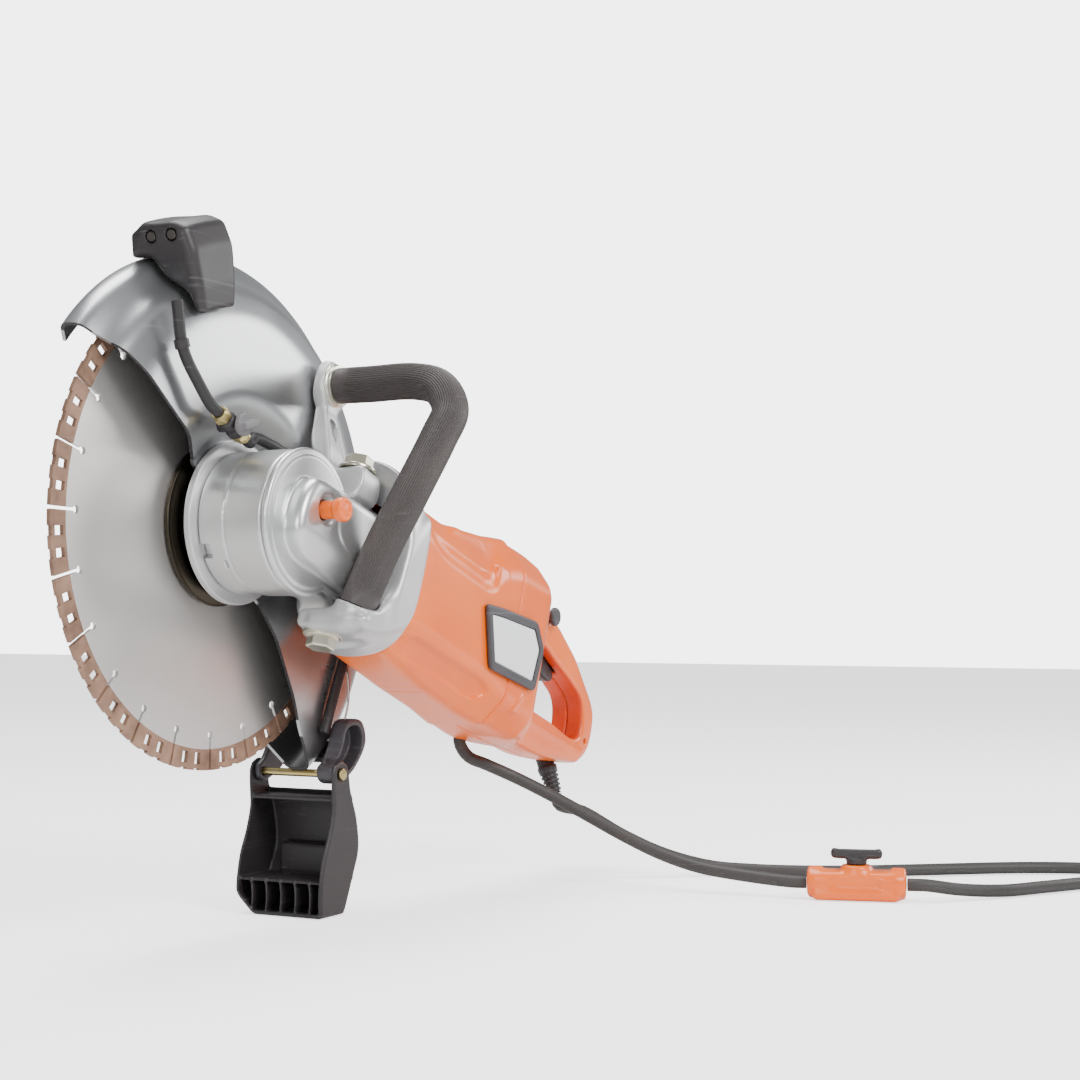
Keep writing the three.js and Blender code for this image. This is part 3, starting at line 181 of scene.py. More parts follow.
def smooth_line(points: Sequence[Sequence[float]], spacing: float, closed: bool = False) -> Points:
    """Runs a centripetal Catmull-Rom curve through points and spaces it evenly.

    Args:
        points: the points that the curve passes through.
        spacing: the distance between the points that come back.
        closed: whether the line closes on itself.
    Returns:
        Evenly spaced points along the curve.
    """
    p = np.asarray(points, float)
    ends = (p[-1], p[0], p[1]) if closed else (2 * p[0] - p[1], 2 * p[-1] - p[-2])
    q = np.vstack([ends[0], p, ends[1], ends[2]]) if closed else np.vstack([ends[0], p, ends[1]])
    spans = []
    u = np.linspace(0, 1, 24, endpoint=False)[:, None]
    for a, b, c, d in zip(q[:-3], q[1:-2], q[2:-1], q[3:]):
        t1 = np.linalg.norm(b - a) ** 0.5
        t2 = t1 + np.linalg.norm(c - b) ** 0.5
        t3 = t2 + np.linalg.norm(d - c) ** 0.5
        t = t1 + (t2 - t1) * u
        ab = a + (b - a) * t / t1
        bc = b + (c - b) * (t - t1) / (t2 - t1)
        cd = c + (d - c) * (t - t2) / (t3 - t2)
        left, right = ab + (bc - ab) * t / t2, bc + (cd - bc) * (t - t1) / (t3 - t1)
        spans.append(left + (right - left) * (t - t1) / (t2 - t1))
    line = np.vstack([*spans, p[:1] if closed else p[-1:]])
    along = np.concatenate([[0], np.cumsum(np.linalg.norm(np.diff(line, axis=0), axis=1))])
    count = max(int(round(along[-1] / spacing)), 2)
    marks = np.linspace(0, along[-1], count + 1)
    even = np.stack([np.interp(marks, along, line[:, k]) for k in range(line.shape[1])], 1)
    return even[:-1] if closed else even


def lathe(profile: Points, sides: int = 64) -> tuple[Points, Points]:
    """Turns a [radius, height] line about Y: each point goes round a circle of its radius.

    Returns:
        Points in millimetres and the faces. A profile that starts or ends off the axis closes on itself.
    """
    line = np.asarray(profile, float)
    if line[0, 0] > 0 or line[-1, 0] > 0:
        line = np.vstack([line, line[:1]])
    turn = np.linspace(0, 2 * math.pi, sides, endpoint=False)
    r, h = line[:, :1], line[:, 1:2]
    points = np.stack([r * np.cos(turn), np.broadcast_to(h, (len(line), sides)), r * np.sin(turn)], -1)
    return points.reshape(-1, 3), grid_faces(len(line), sides)


def axis_turn(direction: Sequence[float]) -> Points:
    """Returns the 3 by 3 turn that carries +Y onto a direction."""
    return np.array(Vector((0, 1, 0)).rotation_difference(Vector(direction)).to_matrix())


def sweep(
    path: Points,
    radius: Callable[[Points, Points], Points],
    sides: int,
) -> tuple[Points, Points]:
    """Carries a round section along a path, kept from twisting, closed by a flat end at each end.

    Args:
        path: (n, 3) centreline points.
        radius: gives the radius from the share of the way along and the angle round.
        sides: points round the section.
    Returns:
        Points in the path's units and the faces.
    """
    along = np.gradient(path, axis=0)
    along /= np.linalg.norm(along, axis=1)[:, None]
    side = np.empty_like(path)
    start = np.cross(along[0], (0.0, 0.0, 1.0))
    if np.linalg.norm(start) < 1e-3:
        start = np.cross(along[0], (1.0, 0.0, 0.0))
    side[0] = start / np.linalg.norm(start)
    for k in range(1, len(path)):
        carried = side[k - 1] - along[k] * (side[k - 1] @ along[k])
        side[k] = carried / np.linalg.norm(carried)
    up = np.cross(along, side)
    share = np.linspace(0, 1, len(path))[:, None]
    turn = np.linspace(0, 2 * math.pi, sides, endpoint=False)[None, :]
    r = radius(share, turn)[..., None]
    ring = path[:, None] + r * (np.cos(turn)[..., None] * side[:, None]
                                + np.sin(turn)[..., None] * up[:, None])
    caps = [ring[0] * 0 + path[0], ring[0] * 0.15 + path[0] * 0.85, ring[-1] * 0.15 + path[-1] * 0.85]
    rings = np.concatenate([np.stack(caps[:2]), ring, np.stack([caps[2], ring[-1] * 0 + path[-1]])])
    return rings.reshape(-1, 3), grid_faces(len(rings), sides)


# ---------------------------------------------------------------- solids as distance fields


def blend_max(a: Points, b: Points, radius: float) -> Points:
    """The larger of two distances, with the crease between them rounded to a radius."""
    h = np.maximum(radius - np.abs(a - b), 0) / radius
    return np.maximum(a, b) + h * h * radius * 0.25


def blend_min(a: Points, b: Points, radius: float) -> Points:
    """The smaller of two distances, with the corner between them filled to a radius."""
    return -blend_max(-a, -b, radius)


def outline_distance(outline: Points, u: Points, v: Points) -> Points:
    """Signed distance from (u, v) to a closed outline: the nearest side's distance, negative inside."""
    shape = np.broadcast(u, v).shape
    u, v = (np.broadcast_to(m, shape).astype(np.float32) for m in (u, v))
    nearest = np.full(shape, 1e9, np.float32)
    inside = np.zeros(shape, bool)
    for a, b in zip(outline, np.roll(outline, -1, axis=0)):
        e = b - a
        t = np.clip(((u - a[0]) * e[0] + (v - a[1]) * e[1]) / (e @ e), 0, 1)
        nearest = np.minimum(nearest, (u - a[0] - t * e[0]) ** 2 + (v - a[1] - t * e[1]) ** 2)
        if a[1] != b[1]:
            crossing = (a[1] > v) != (b[1] > v)
            inside ^= crossing & (u < e[0] * (v - a[1]) / e[1] + a[0])
    return np.sqrt(nearest) * np.where(inside, -1, 1)


@dataclass
class Solid:
    """Sample points in a box, on which a solid is drawn as a distance that is negative inside."""

    low: tuple[float, float, float]
    high: tuple[float, float, float]
    step: float = 1.0
    x: Points = field(init=False)
    y: Points = field(init=False)
    z: Points = field(init=False)

    def __post_init__(self) -> None:
        """Lays out the three coordinate lines so that they broadcast over the box."""
        lines = [np.arange(a, b + self.step, self.step, np.float32) for a, b in zip(self.low, self.high)]
        self.x, self.y, self.z = lines[0][:, None, None], lines[1][None, :, None], lines[2][None, None, :]

    def folded(self, middle: float) -> "Solid":
        """The same samples with both sides of a middle plane laid over each other."""
        half = copy.copy(self)
        half.y = np.abs(self.y - middle) + middle
        return half

    def capsule(self, a: Sequence[float], b: Sequence[float], r0: float,
            r1: Optional[float] = None) -> Points:
        """Distance to a round-ended rod between two points, whose radius may change along it."""
        a, b = np.asarray(a, float), np.asarray(b, float)
        e = b - a
        dx, dy, dz = self.x - a[0], self.y - a[1], self.z - a[2]
        t = np.clip((dx * e[0] + dy * e[1] + dz * e[2]) / (e @ e), 0, 1)
        gone = np.sqrt((dx - t * e[0]) ** 2 + (dy - t * e[1]) ** 2 + (dz - t * e[2]) ** 2)
        return gone - (r0 + t * ((r0 if r1 is None else r1) - r0))

    def bar_y(self, x: float, z: float, radius: float, y0: float, y1: float, soft: float = 1.0) -> Points:
        """Distance to a bar along Y, its rim rounded."""
        side = np.sqrt((self.x - x) ** 2 + (self.z - z) ** 2) - radius
        return blend_max(side, np.abs(self.y - (y0 + y1) / 2) - (y1 - y0) / 2, soft)

    def bar_x(self, y: float, z: float, radius: float, x0: float, x1: float, soft: float = 1.0) -> Points:
        """Distance to a bar along X, its rim rounded."""
        side = np.sqrt((self.y - y) ** 2 + (self.z - z) ** 2) - radius
        return blend_max(side, np.abs(self.x - (x0 + x1) / 2) - (x1 - x0) / 2, soft)

    def slab(self, outline: Points, y0: float, y1: float, soft: float = 1.0) -> Points:
        """Distance to a side outline, in x and z, carried from y0 to y1 with its rim rounded."""
        flat = outline_distance(np.asarray(outline, float), self.x[:, 0], self.z[0])[:, None, :]
        return blend_max(flat, np.abs(self.y - (y0 + y1) / 2) - (y1 - y0) / 2, soft)

    def plate(self, outline: Points, x0: float, x1: float, soft: float = 1.0) -> Points:
        """Distance to a front outline, in y and z, carried from x0 to x1 with its rim rounded."""
        flat = outline_distance(np.asarray(outline, float), self.y[0], self.z[0])[None]
        return blend_max(flat, np.abs(self.x - (x0 + x1) / 2) - (x1 - x0) / 2, soft)

    def box(self, low: Sequence[float], high: Sequence[float], soft: float = 1.0) -> Points:
        """Distance to a box with rounded edges."""
        sides = [
            np.abs(line - (a + b) / 2) - (b - a) / 2
            for line, a, b in zip((self.x, self.y, self.z), low, high)
        ]
        return blend_max(blend_max(sides[0], sides[1], soft), sides[2], soft)

    def skin(self, values: Points) -> tuple[Points, Points]:
        """Draws the surface where the distance is zero, as one net of quads.

        Each cell that the surface crosses gets a point, the mean of its edges' crossings, which is
        then moved along the distance's slope onto the surface. Each crossed edge joins its four cells.

        Args:
            values: the distance at every sample point.
        Returns:
            Points in millimetres and the quads.
        """
        values = np.ascontiguousarray(np.broadcast_to(values, (self.x.size, self.y.size, self.z.size)),
            np.float32)
        values = np.pad(values[1:-1, 1:-1, 1:-1], 1, constant_values=self.step)
        inside = values < 0
        corners = [(a, b, c) for a in (0, 1) for b in (0, 1) for c in (0, 1)]
        n = np.array(values.shape) - 1
        count = sum(inside[a : n[0] + a, b : n[1] + b, c : n[2] + c].astype(np.int8) for a, b, c in corners)
        cells = np.argwhere((count > 0) & (count < 8))
        number = np.full(n, -1, np.int32)
        number[tuple(cells.T)] = np.arange(len(cells))
        total, hits = np.zeros((len(cells), 3)), np.zeros(len(cells))
        for first in corners:
            for axis in range(3):
                if first[axis]:
                    continue
                second = np.array(first)
                second[axis] = 1
                v0, v1 = values[tuple((cells + first).T)], values[tuple((cells + second).T)]
                cut = (v0 < 0) != (v1 < 0)
                share = np.where(cut, v0 / np.where(cut, v0 - v1, 1), 0)
                spot = np.tile(np.array(first, float), (len(cells), 1))
                spot[:, axis] += share
                total += spot * cut[:, None]
                hits += cut
        place = cells + total / hits[:, None]
        slopes = np.gradient(values)
        for _ in range(2):
            low = np.clip(np.floor(place).astype(int), 0, n - 1)
            t = place - low
            here, lean = np.zeros(len(place)), np.zeros_like(place)
            for corner in corners:
                w = np.prod([t[:, k] if corner[k] else 1 - t[:, k] for k in range(3)], 0)
                where = tuple((low + corner).T)
                here += w * values[where]
                lean += w[:, None] * np.stack([slope[where] for slope in slopes], 1)
            move = lean * (here / np.maximum((lean**2).sum(1), 0.25 * self.step**2))[:, None]
            place -= np.clip(move, -0.5, 0.5)
        quads = []
        for axis in range(3):
            u, v = (axis + 1) % 3, (axis + 2) % 3
            a = inside[tuple(slice(0, -1) if k == axis else slice(1, -1) for k in range(3))]
            b = inside[tuple(slice(1, None) if k == axis else slice(1, -1) for k in range(3))]
            at = np.argwhere(a != b)
            at[:, u] += 1
            at[:, v] += 1
            rows = []
            for du, dv in ((0, 0), (-1, 0), (-1, -1), (0, -1)):
                cell = at.copy()
                cell[:, u] += du
                cell[:, v] += dv
                rows.append(number[tuple(cell.T)])
            quad = np.stack(rows, 1)
            leaving = inside[tuple(at.T)]
            quads.append(np.where(leaving[:, None], quad, quad[:, ::-1]))
        return np.array(self.low) + place * self.step, np.vstack(quads)


# ---------------------------------------------------------------- finishes


class Tree:
    """Short ways to add and join shader nodes in one tree."""

    def __init__(self, tree: bpy.types.NodeTree) -> None:
        """Keeps the tree that nodes are added to."""
        self.tree = tree

    def add(self, kind: str, values: Optional[dict] = None, **settings: object) -> bpy.types.Node:
        """Adds a node, sets its properties, and gives its sockets values or links.

        Args:
            kind: the node's type name.
            values: socket name or number to a value, or to an output socket to link from.
            settings: the node's own properties.
        Returns:
            The node.
        """
        node = self.tree.nodes.new(kind)
        for name, value in settings.items():
            setattr(node, name, value)
        for key, value in (values or {}).items():
            socket = node.inputs[key]
            if isinstance(value, bpy.types.NodeSocket):
                self.tree.links.new(value, socket)
            else:
                socket.default_value = value
        return node

    def math(self, how: str, a: object, b: object = 0.0) -> bpy.types.NodeSocket:
        """Adds a Math node on two values or sockets and returns its result."""
        return self.add("ShaderNodeMath", {0: a, 1: b}, operation=how).outputs[0]

    def mix(self, share: object, a: object, b: object) -> bpy.types.NodeSocket:
        """Mixes two colours and returns the result."""
        node = self.add("ShaderNodeMix", {0: share, 6: a, 7: b}, data_type="RGBA")
        return node.outputs[2]

    def ramp(self, source: bpy.types.NodeSocket, low: float, high: float) -> bpy.types.NodeSocket:
        """Stretches a value so that low becomes 0 and high becomes 1."""
        return self.add("ShaderNodeMapRange", {0: source, 1: low, 2: high}).outputs[0]

    def noise(self, where: bpy.types.NodeSocket, scale: object, detail: float = 3.0) -> bpy.types.NodeSocket:
        """Adds a noise pattern and returns its value."""
        return self.add("ShaderNodeTexNoise", {"Vector": where, "Scale": scale, "Detail": detail}).outputs[0]


def group(name: str, inputs: dict[str, float],
        outputs: Sequence[str]) -> tuple[bpy.types.NodeTree, Tree, dict, bpy.types.Node]:
    """Starts a shader node group with named float inputs and outputs.

    Returns:
        The group, its Tree, its input sockets by name, and its output node.
    """
    made = bpy.data.node_groups.new(name, "ShaderNodeTree")
    for label, value in inputs.items():
        made.interface.new_socket(label, in_out="INPUT", socket_type="NodeSocketFloat").default_value = value
    for label in outputs:
        made.interface.new_socket(label, in_out="OUTPUT", socket_type="NodeSocketFloat")
    tree = Tree(made)
    return made, tree, dict(tree.add("NodeGroupInput").outputs.items()), tree.add("NodeGroupOutput")


def grain_group() -> bpy.types.NodeTree:
    """Moulded or cast grain: fine and coarse noise give a height, cloudy noise gives a tone."""
    made, tree, given, out = group("grain", {"Scale": 900.0, "Cloud": 14.0}, ("Height", "Tone", "Marks"))
    where = tree.add("ShaderNodeTexCoord").outputs["Object"]
    fine = tree.noise(where, given["Scale"], 2.0)
    coarse = tree.noise(where, tree.math("MULTIPLY", given["Scale"], 0.21), 3.0)
    height = tree.math("ADD", tree.math("MULTIPLY", fine, 0.7), tree.math("MULTIPLY", coarse, 0.3))
    tone = tree.ramp(tree.noise(where, given["Cloud"], 4.0), 0.3, 0.7)
    stretched = tree.add("ShaderNodeMapping",
        {0: where, 2: (0.4, 0.2, 0.7), 3: (6.0, 60.0, 420.0)}).outputs[0]
    marks = tree.ramp(tree.noise(stretched, 1.0, 4.0), 0.62, 0.78)
    for label, value in (("Height", height), ("Tone", tone), ("Marks", marks)):
        made.links.new(value, out.inputs[label])
    return made


def turning_group() -> bpy.types.NodeTree:
    """Lathe marks about the arbor: noise on the radius and a little on the angle, with the radius itself."""
    made, tree, given, out = group("turning", {"Rings": 2600.0}, ("Marks", "Broad", "Radius"))
    centre = tuple(-v * MM for v in ARBOR)
    where = tree.add("ShaderNodeTexCoord").outputs["Object"]
    local = tree.add("ShaderNodeMapping", {0: where, 1: centre}).outputs[0]
    part = tree.add("ShaderNodeSeparateXYZ", {0: local}).outputs
    radius = tree.math("SQRT",
        tree.math("ADD", tree.math("POWER", part[0], 2.0), tree.math("POWER", part[2], 2.0)))
    angle = tree.math("ARCTAN2", part[2], part[0])
    rings = tree.add("ShaderNodeCombineXYZ",
        {0: tree.math("MULTIPLY", radius, given["Rings"]), 1: angle}).outputs[0]
    broad = tree.add("ShaderNodeCombineXYZ", {0: tree.math("MULTIPLY", radius, 240.0), 1: angle}).outputs[0]
    made.links.new(tree.noise(rings, 1.0, 2.0), out.inputs["Marks"])
    made.links.new(tree.noise(broad, 1.0, 3.0), out.inputs["Broad"])
    made.links.new(radius, out.inputs["Radius"])
    return made


GRAIN = grain_group()
TURNING = turning_group()


def colour(red: int, green: int, blue: int) -> tuple[float, float, float, float]:
    """Turns a display colour of 0 to 255 into the linear colour that shaders take."""
    line = [v / 255 for v in (red, green, blue)]
    return (*[v / 12.92 if v <= 0.04045 else ((v + 0.055) / 1.055) ** 2.4 for v in line], 1.0)


@dataclass(frozen=True)
class Finish:
    """A moulded, cast or plated finish.

    The colour drifts between two tones in soft clouds, roughness follows the same clouds, thin handling
    marks lighten or dull it, and grain raises the surface a little.
    """

    name: str
    light: tuple[int, int, int]
    dark: tuple[int, int, int]
    rough: float
    rough_spread: float = 0.08
    metal: float = 0.0
    grain: float = 900.0
    depth: float = 0.05
    marks: float = 0.15
    coat: float = 0.0
    cloud: float = 14.0

    def build(self) -> bpy.types.Material:
        """Returns the material, made once."""
        if self.name in bpy.data.materials:
            return bpy.data.materials[self.name]
        material = bpy.data.materials.new(self.name)
        material.use_nodes = True
        tree = Tree(material.node_tree)
        shader = material.node_tree.nodes["Principled BSDF"]
        grain = tree.add("ShaderNodeGroup", node_tree=GRAIN)
        grain.inputs["Scale"].default_value = self.grain
        grain.inputs["Cloud"].default_value = self.cloud
        tone, marks = grain.outputs["Tone"], tree.math("MULTIPLY", grain.outputs["Marks"], self.marks)
        base = tree.mix(tone, colour(*self.dark), colour(*self.light))
        worn = tree.mix(marks, base, tree.mix(0.5, base, (0.8, 0.8, 0.8, 1.0)))
        rough = tree.math("ADD", tree.math("MULTIPLY", tone, self.rough_spread),
            self.rough - self.rough_spread / 2)
        rough = tree.math("ADD", rough, tree.math("MULTIPLY", marks, 0.2))
        bump = tree.add("ShaderNodeBump",
            {"Strength": 0.35, "Distance": self.depth * MM, "Height": grain.outputs["Height"]})
        for label, source in (("Base Color", worn), ("Roughness", rough), ("Normal", bump.outputs[0])):
            tree.tree.links.new(source, shader.inputs[label])
        shader.inputs["Metallic"].default_value = self.metal
        shader.inputs["Coat Weight"].default_value = self.coat
        shader.inputs["Coat Roughness"].default_value = 0.25
        return material


@dataclass(frozen=True)
class TurnedFinish:
    """Steel ground on a lathe: fine rings about the arbor in colour, roughness and height."""

    name: str
    light: tuple[int, int, int]
    dark: tuple[int, int, int]
    rough: float
    ring_at: float = 0.0
    rings: float = 2600.0

    def build(self) -> bpy.types.Material:
        """Returns the material, made once."""
        if self.name in bpy.data.materials:
            return bpy.data.materials[self.name]
        material = bpy.data.materials.new(self.name)
        material.use_nodes = True
        tree = Tree(material.node_tree)
        shader = material.node_tree.nodes["Principled BSDF"]
        turning = tree.add("ShaderNodeGroup", node_tree=TURNING)
        turning.inputs["Rings"].default_value = self.rings
        grain = tree.add("ShaderNodeGroup", node_tree=GRAIN)
        marks, broad, radius = (turning.outputs[k] for k in ("Marks", "Broad", "Radius"))
        tone = tree.math("ADD", tree.math("MULTIPLY", marks, 0.55), tree.math("MULTIPLY", broad, 0.45))
        base = tree.mix(tree.ramp(tone, 0.3, 0.7), colour(*self.dark), colour(*self.light))
        if self.ring_at > 0:
            away = tree.math("ABSOLUTE", tree.math("SUBTRACT", radius, self.ring_at * MM))
            line = tree.math("SUBTRACT", 1.0, tree.ramp(away, 0.0004, 0.0014))
            base = tree.mix(tree.math("MULTIPLY", line, 0.4), base, colour(70, 68, 66))
        rough = tree.math("ADD", tree.math("MULTIPLY", broad, 0.16), self.rough - 0.08)
        bump = tree.add("ShaderNodeBump", {"Strength": 0.12, "Distance": 0.00004, "Height": marks})
        smudged = tree.math("ADD", rough, tree.math("MULTIPLY", grain.outputs["Tone"], 0.05))
        for label, source in (("Base Color", base), ("Roughness", smudged), ("Normal", bump.outputs[0])):
            tree.tree.links.new(source, shader.inputs[label])
        shader.inputs["Metallic"].default_value = 1.0
        shader.inputs["Anisotropic"].default_value = 0.75
        tangent = tree.add("ShaderNodeTangent", direction_type="RADIAL", axis="Y")
        tree.tree.links.new(tangent.outputs[0], shader.inputs["Tangent"])
        return material


ORANGE = Finish("orange_moulding", (250, 112, 2), (238, 98, 2), 0.33, grain=1500, depth=0.03, coat=0.15,
    marks=0.06)
# Painted shade: a darker orange for the hand hole's lining, in place of the shadow that falls inside it.
HOLE_SHADE_ORANGE = Finish("orange_painted_shade", (226, 72, 4), (206, 58, 3), 0.5, grain=1500, depth=0.03, marks=0.05)
SILVER = Finish("cast_silver", (186, 187, 188), (164, 166, 168), 0.36, metal=0.85, grain=1100, depth=0.05,
    marks=0.12)
GUARD_SILVER = Finish("guard_silver", (176, 177, 178), (158, 160, 162), 0.3, metal=0.9, grain=1700,
    depth=0.02, marks=0.2, cloud=8)
LIGHT_CASTING = Finish("bare_casting", (206, 206, 206), (184, 184, 186), 0.42, metal=0.6, grain=700,
    depth=0.08, marks=0.1)
GUARD_BLACK = Finish("guard_inside", (38, 36, 38), (26, 25, 27), 0.55, grain=800, depth=0.06, marks=0.12)
BLACK = Finish("black_moulding", (42, 38, 40), (31, 28, 30), 0.45, grain=1300, depth=0.05, marks=0.12)
GREY = Finish("grey_moulding", (118, 116, 118), (104, 102, 104), 0.45, grain=1300, depth=0.05, marks=0.1)
DARK_GREY = Finish("dark_grey_moulding", (64, 62, 66), (52, 50, 54), 0.45, grain=1300, depth=0.05, marks=0.1)
RUBBER = Finish("grip_rubber", (74, 68, 66), (58, 53, 52), 0.5, 0.12, grain=900, depth=0.06, marks=0.1)
CORD_RUBBER = Finish("cord_rubber", (58, 55, 54), (45, 43, 42), 0.55, grain=1200, depth=0.05, marks=0.12)
HOSE_BLACK = Finish("hose_black", (34, 31, 33), (26, 24, 26), 0.5, grain=1200, depth=0.04, marks=0.15)
BRASS = Finish("brass_plain", (206, 188, 134), (180, 160, 104), 0.28, metal=1.0, grain=1600, depth=0.03)
ZINC = Finish("zinc_plated", (222, 220, 206), (196, 192, 172), 0.3, metal=0.95, grain=1400, depth=0.03)
STEEL = Finish("plain_steel", (176, 172, 168), (150, 146, 142), 0.32, metal=1.0, grain=1800, depth=0.02)
DARK_STEEL = Finish("blackened_steel", (84, 80, 76), (62, 58, 55), 0.38, metal=0.9, grain=1500, depth=0.03)
COPPER = Finish("winding_copper", (190, 120, 62), (150, 88, 44), 0.35, metal=1.0, grain=600, depth=0.1)
PLATE = Finish("badge_face", (214, 220, 222), (204, 210, 213), 0.3, grain=2200, depth=0.01, coat=0.3,
    marks=0.03)
SEGMENT = Finish("segment_matrix", (172, 138, 116), (120, 92, 76), 0.6, 0.2, metal=0.5, grain=2600,
    depth=0.2, marks=0.2, cloud=60)
BLADE_STEEL = TurnedFinish("blade_steel", (158, 154, 150), (118, 114, 111), 0.3, ring_at=106.0)
FLANGE_STEEL = TurnedFinish("flange_steel", (76, 70, 60), (44, 40, 36), 0.3)


# ---------------------------------------------------------------- placing pieces


def dress(
    name: str,
    shape: tuple[Points, Points],
    finish: object,
    body: Body,
    replaces: Sequence[str] = (),
    place: Callable[[Points], Points] = from_machine,
    sharp_deg: float = 35.0,
) -> bpy.types.Object:
    """Makes a piece from points in millimetres and faces, and gives it its finish, body and place.

    Args:
        name: the piece's name.
        shape: points in millimetres and faces.
        finish: what its surface is made of.
        body: the body that it rides on.
        replaces: CAD nodes that it stands for.
        place: carries the points to the frame.
        sharp_deg: edges bent more than this stay crisp.
    Returns:
        The finished object.
    """
    piece = make_object(name, place(shape[0]), shape[1], sharp_deg)
    piece.data.materials.append(finish.build())
    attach(piece, body.value)
    if replaces:
        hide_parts(*replaces)
    LOG.info("%s: %d faces", name, len(piece.data.polygons))
    return piece


def steady(radius: float) -> Callable[[Points, Points], Points]:
    """Returns a radius that stays the same along a sweep and round it."""

    def same(share: Points, turn: Points) -> Points:
        """The radius at each share of the length and each turn."""
        return np.full(np.broadcast(share, turn).shape, radius)

    return same


def joined(*shapes: tuple[Points, Points]) -> tuple[Points, list[Points]]:
    """Puts several shapes in one, with their faces renumbered."""
    points, faces, start = [], [], 0
    for p, f in shapes:
        points.append(p)
        faces.extend(block + start for block in (f if isinstance(f, list) else [f]))
        start += len(p)
    return np.vstack(points), faces


def turned_piece(profile: Sequence[Sequence[float]], at: Sequence[float], way: Sequence[float],
        sides: int = 64,
                 soft: float = 0.8) -> tuple[Points, Points]:
    """Turns a rounded profile about an axis that starts at a point and runs along a direction."""
    points, faces = lathe(rounded(profile, soft), sides)
    return points @ axis_turn(way).T + np.asarray(at, float), faces


def prism(sides: int, radius: float, y0: float, y1: float, at: Sequence[float], way: Sequence[float],
          chamfer: float = 0.8) -> tuple[Points, Points]:
    """A nut's body: a polygon of even sides along an axis, its two rims chamfered."""
    levels = [(0, y0), (radius - chamfer, y0), (radius, y0 + chamfer), (radius, y1 - chamfer),
        (radius - chamfer, y1), (0, y1)]
    points, faces = lathe(np.array(levels, float), sides)
    return points @ axis_turn(way).T + np.asarray(at, float), faces


def unit(vector: Sequence[float]) -> Points:
    """Returns a vector at length 1."""
    v = np.asarray(vector, float)
    return v / np.linalg.norm(v)


# The spray flap's pin: its distance from the arbor, and its place in the stand frame.
FLAP_HINGE_R = 209.4
FLAP_HINGE = unit((-100.0, 0, -184.0)) * FLAP_HINGE_R


def polar(radius: float, y: float, degrees: float) -> Points:
    """Returns a point at a radius and an angle about the arbor."""
    return np.array([radius * math.cos(math.radians(degrees)), y, radius * math.sin(math.radians(degrees))])


# ---------------------------------------------------------------- camera and cords


@dataclass
class Studio:
    """The camera at the product-view angle, plain soft lights and a pale floor."""

    eye: tuple[float, float, float] = (1164.1, 857.4, -57.8)
    look: tuple[float, float, float] = (-0.8898, -0.4552, 0.0325)
    lens: float = 66.67
    floor: float = 6.0
    around: float = 0.42
    backdrop: float = 5.0
    floor_glow: float = 1.6

    def place_camera(self) -> None:
        """Sets the camera at its point and looking its way."""
        data = bpy.data.cameras.new("camera")
        data.lens = self.lens
        data.sensor_width = 36.0
        data.clip_end = 50
        camera = bpy.data.objects.new("camera", data)
        camera.location = from_stand(np.array([self.eye]))[0]
        camera.rotation_euler = Vector(self.look).to_track_quat("-Z", "Y").to_euler()
        bpy.context.scene.collection.objects.link(camera)
        bpy.context.scene.camera = camera

    def soft_light(self, name: str, at: Sequence[float], target: Sequence[float], size: float,
            power: float) -> None:
        """Hangs a square lamp in metres and points it at a target."""
        data = bpy.data.lights.new(name, "AREA")
        data.size, data.energy = size, power
        lamp = bpy.data.objects.new(name, data)
        lamp.location = at
        lamp.rotation_euler = (Vector(target) - Vector(at)).to_track_quat("-Z", "Y").to_euler()
        bpy.context.scene.collection.objects.link(lamp)

    def build(self) -> None:
        """Makes the lights, the pale surroundings and the floor."""
        middle = (0.0, 0.0, 0.25)
        self.soft_light("key", (0.7, 2.0, 1.7), middle, 1.0, 62)
        self.soft_light("fill", (2.2, 0.3, 0.9), middle, 0.7, 16)
        self.soft_light("top", (-0.3, -0.4, 2.3), middle, 1.2, 52)
        self.soft_light("rim", (-1.7, 1.2, 0.9), middle, 0.8, 20)
        world = bpy.data.worlds.new("studio")
        world.use_nodes = True
        tree = Tree(world.node_tree)
        seen = tree.add("ShaderNodeLightPath").outputs["Is Camera Ray"]
        background = world.node_tree.nodes["Background"]
        background.inputs[0].default_value = (0.97, 0.98, 1.0, 1)
        extra = tree.math("MULTIPLY", seen, self.backdrop - self.around)
        world.node_tree.links.new(tree.math("ADD", extra, self.around), background.inputs[1])
        bpy.context.scene.world = world
        h = self.floor
        mesh = bpy.data.meshes.new("floor")
        mesh.from_pydata([(-h, -h, -0.0005), (h, -h, -0.0005), (h, h, -0.0005), (-h, h, -0.0005)], [],
            [(0, 1, 2, 3)])
        floor = bpy.data.objects.new("floor", mesh)
        material = bpy.data.materials.new("pale_floor")
        material.use_nodes = True
        shader = material.node_tree.nodes["Principled BSDF"]
        shader.inputs["Base Color"].default_value = (0.93, 0.93, 0.93, 1)
        shader.inputs["Roughness"].default_value = 0.7
        shader.inputs["Emission Color"].default_value = (0.98, 0.98, 1.0, 1)
        ground = Tree(material.node_tree)
        seen = ground.add("ShaderNodeLightPath").outputs["Is Camera Ray"]
        glow = ground.math("MULTIPLY", seen, self.floor_glow)
        material.node_tree.links.new(glow, shader.inputs["Emission Strength"])
        mesh.materials.append(material)
        bpy.context.scene.collection.objects.link(floor)


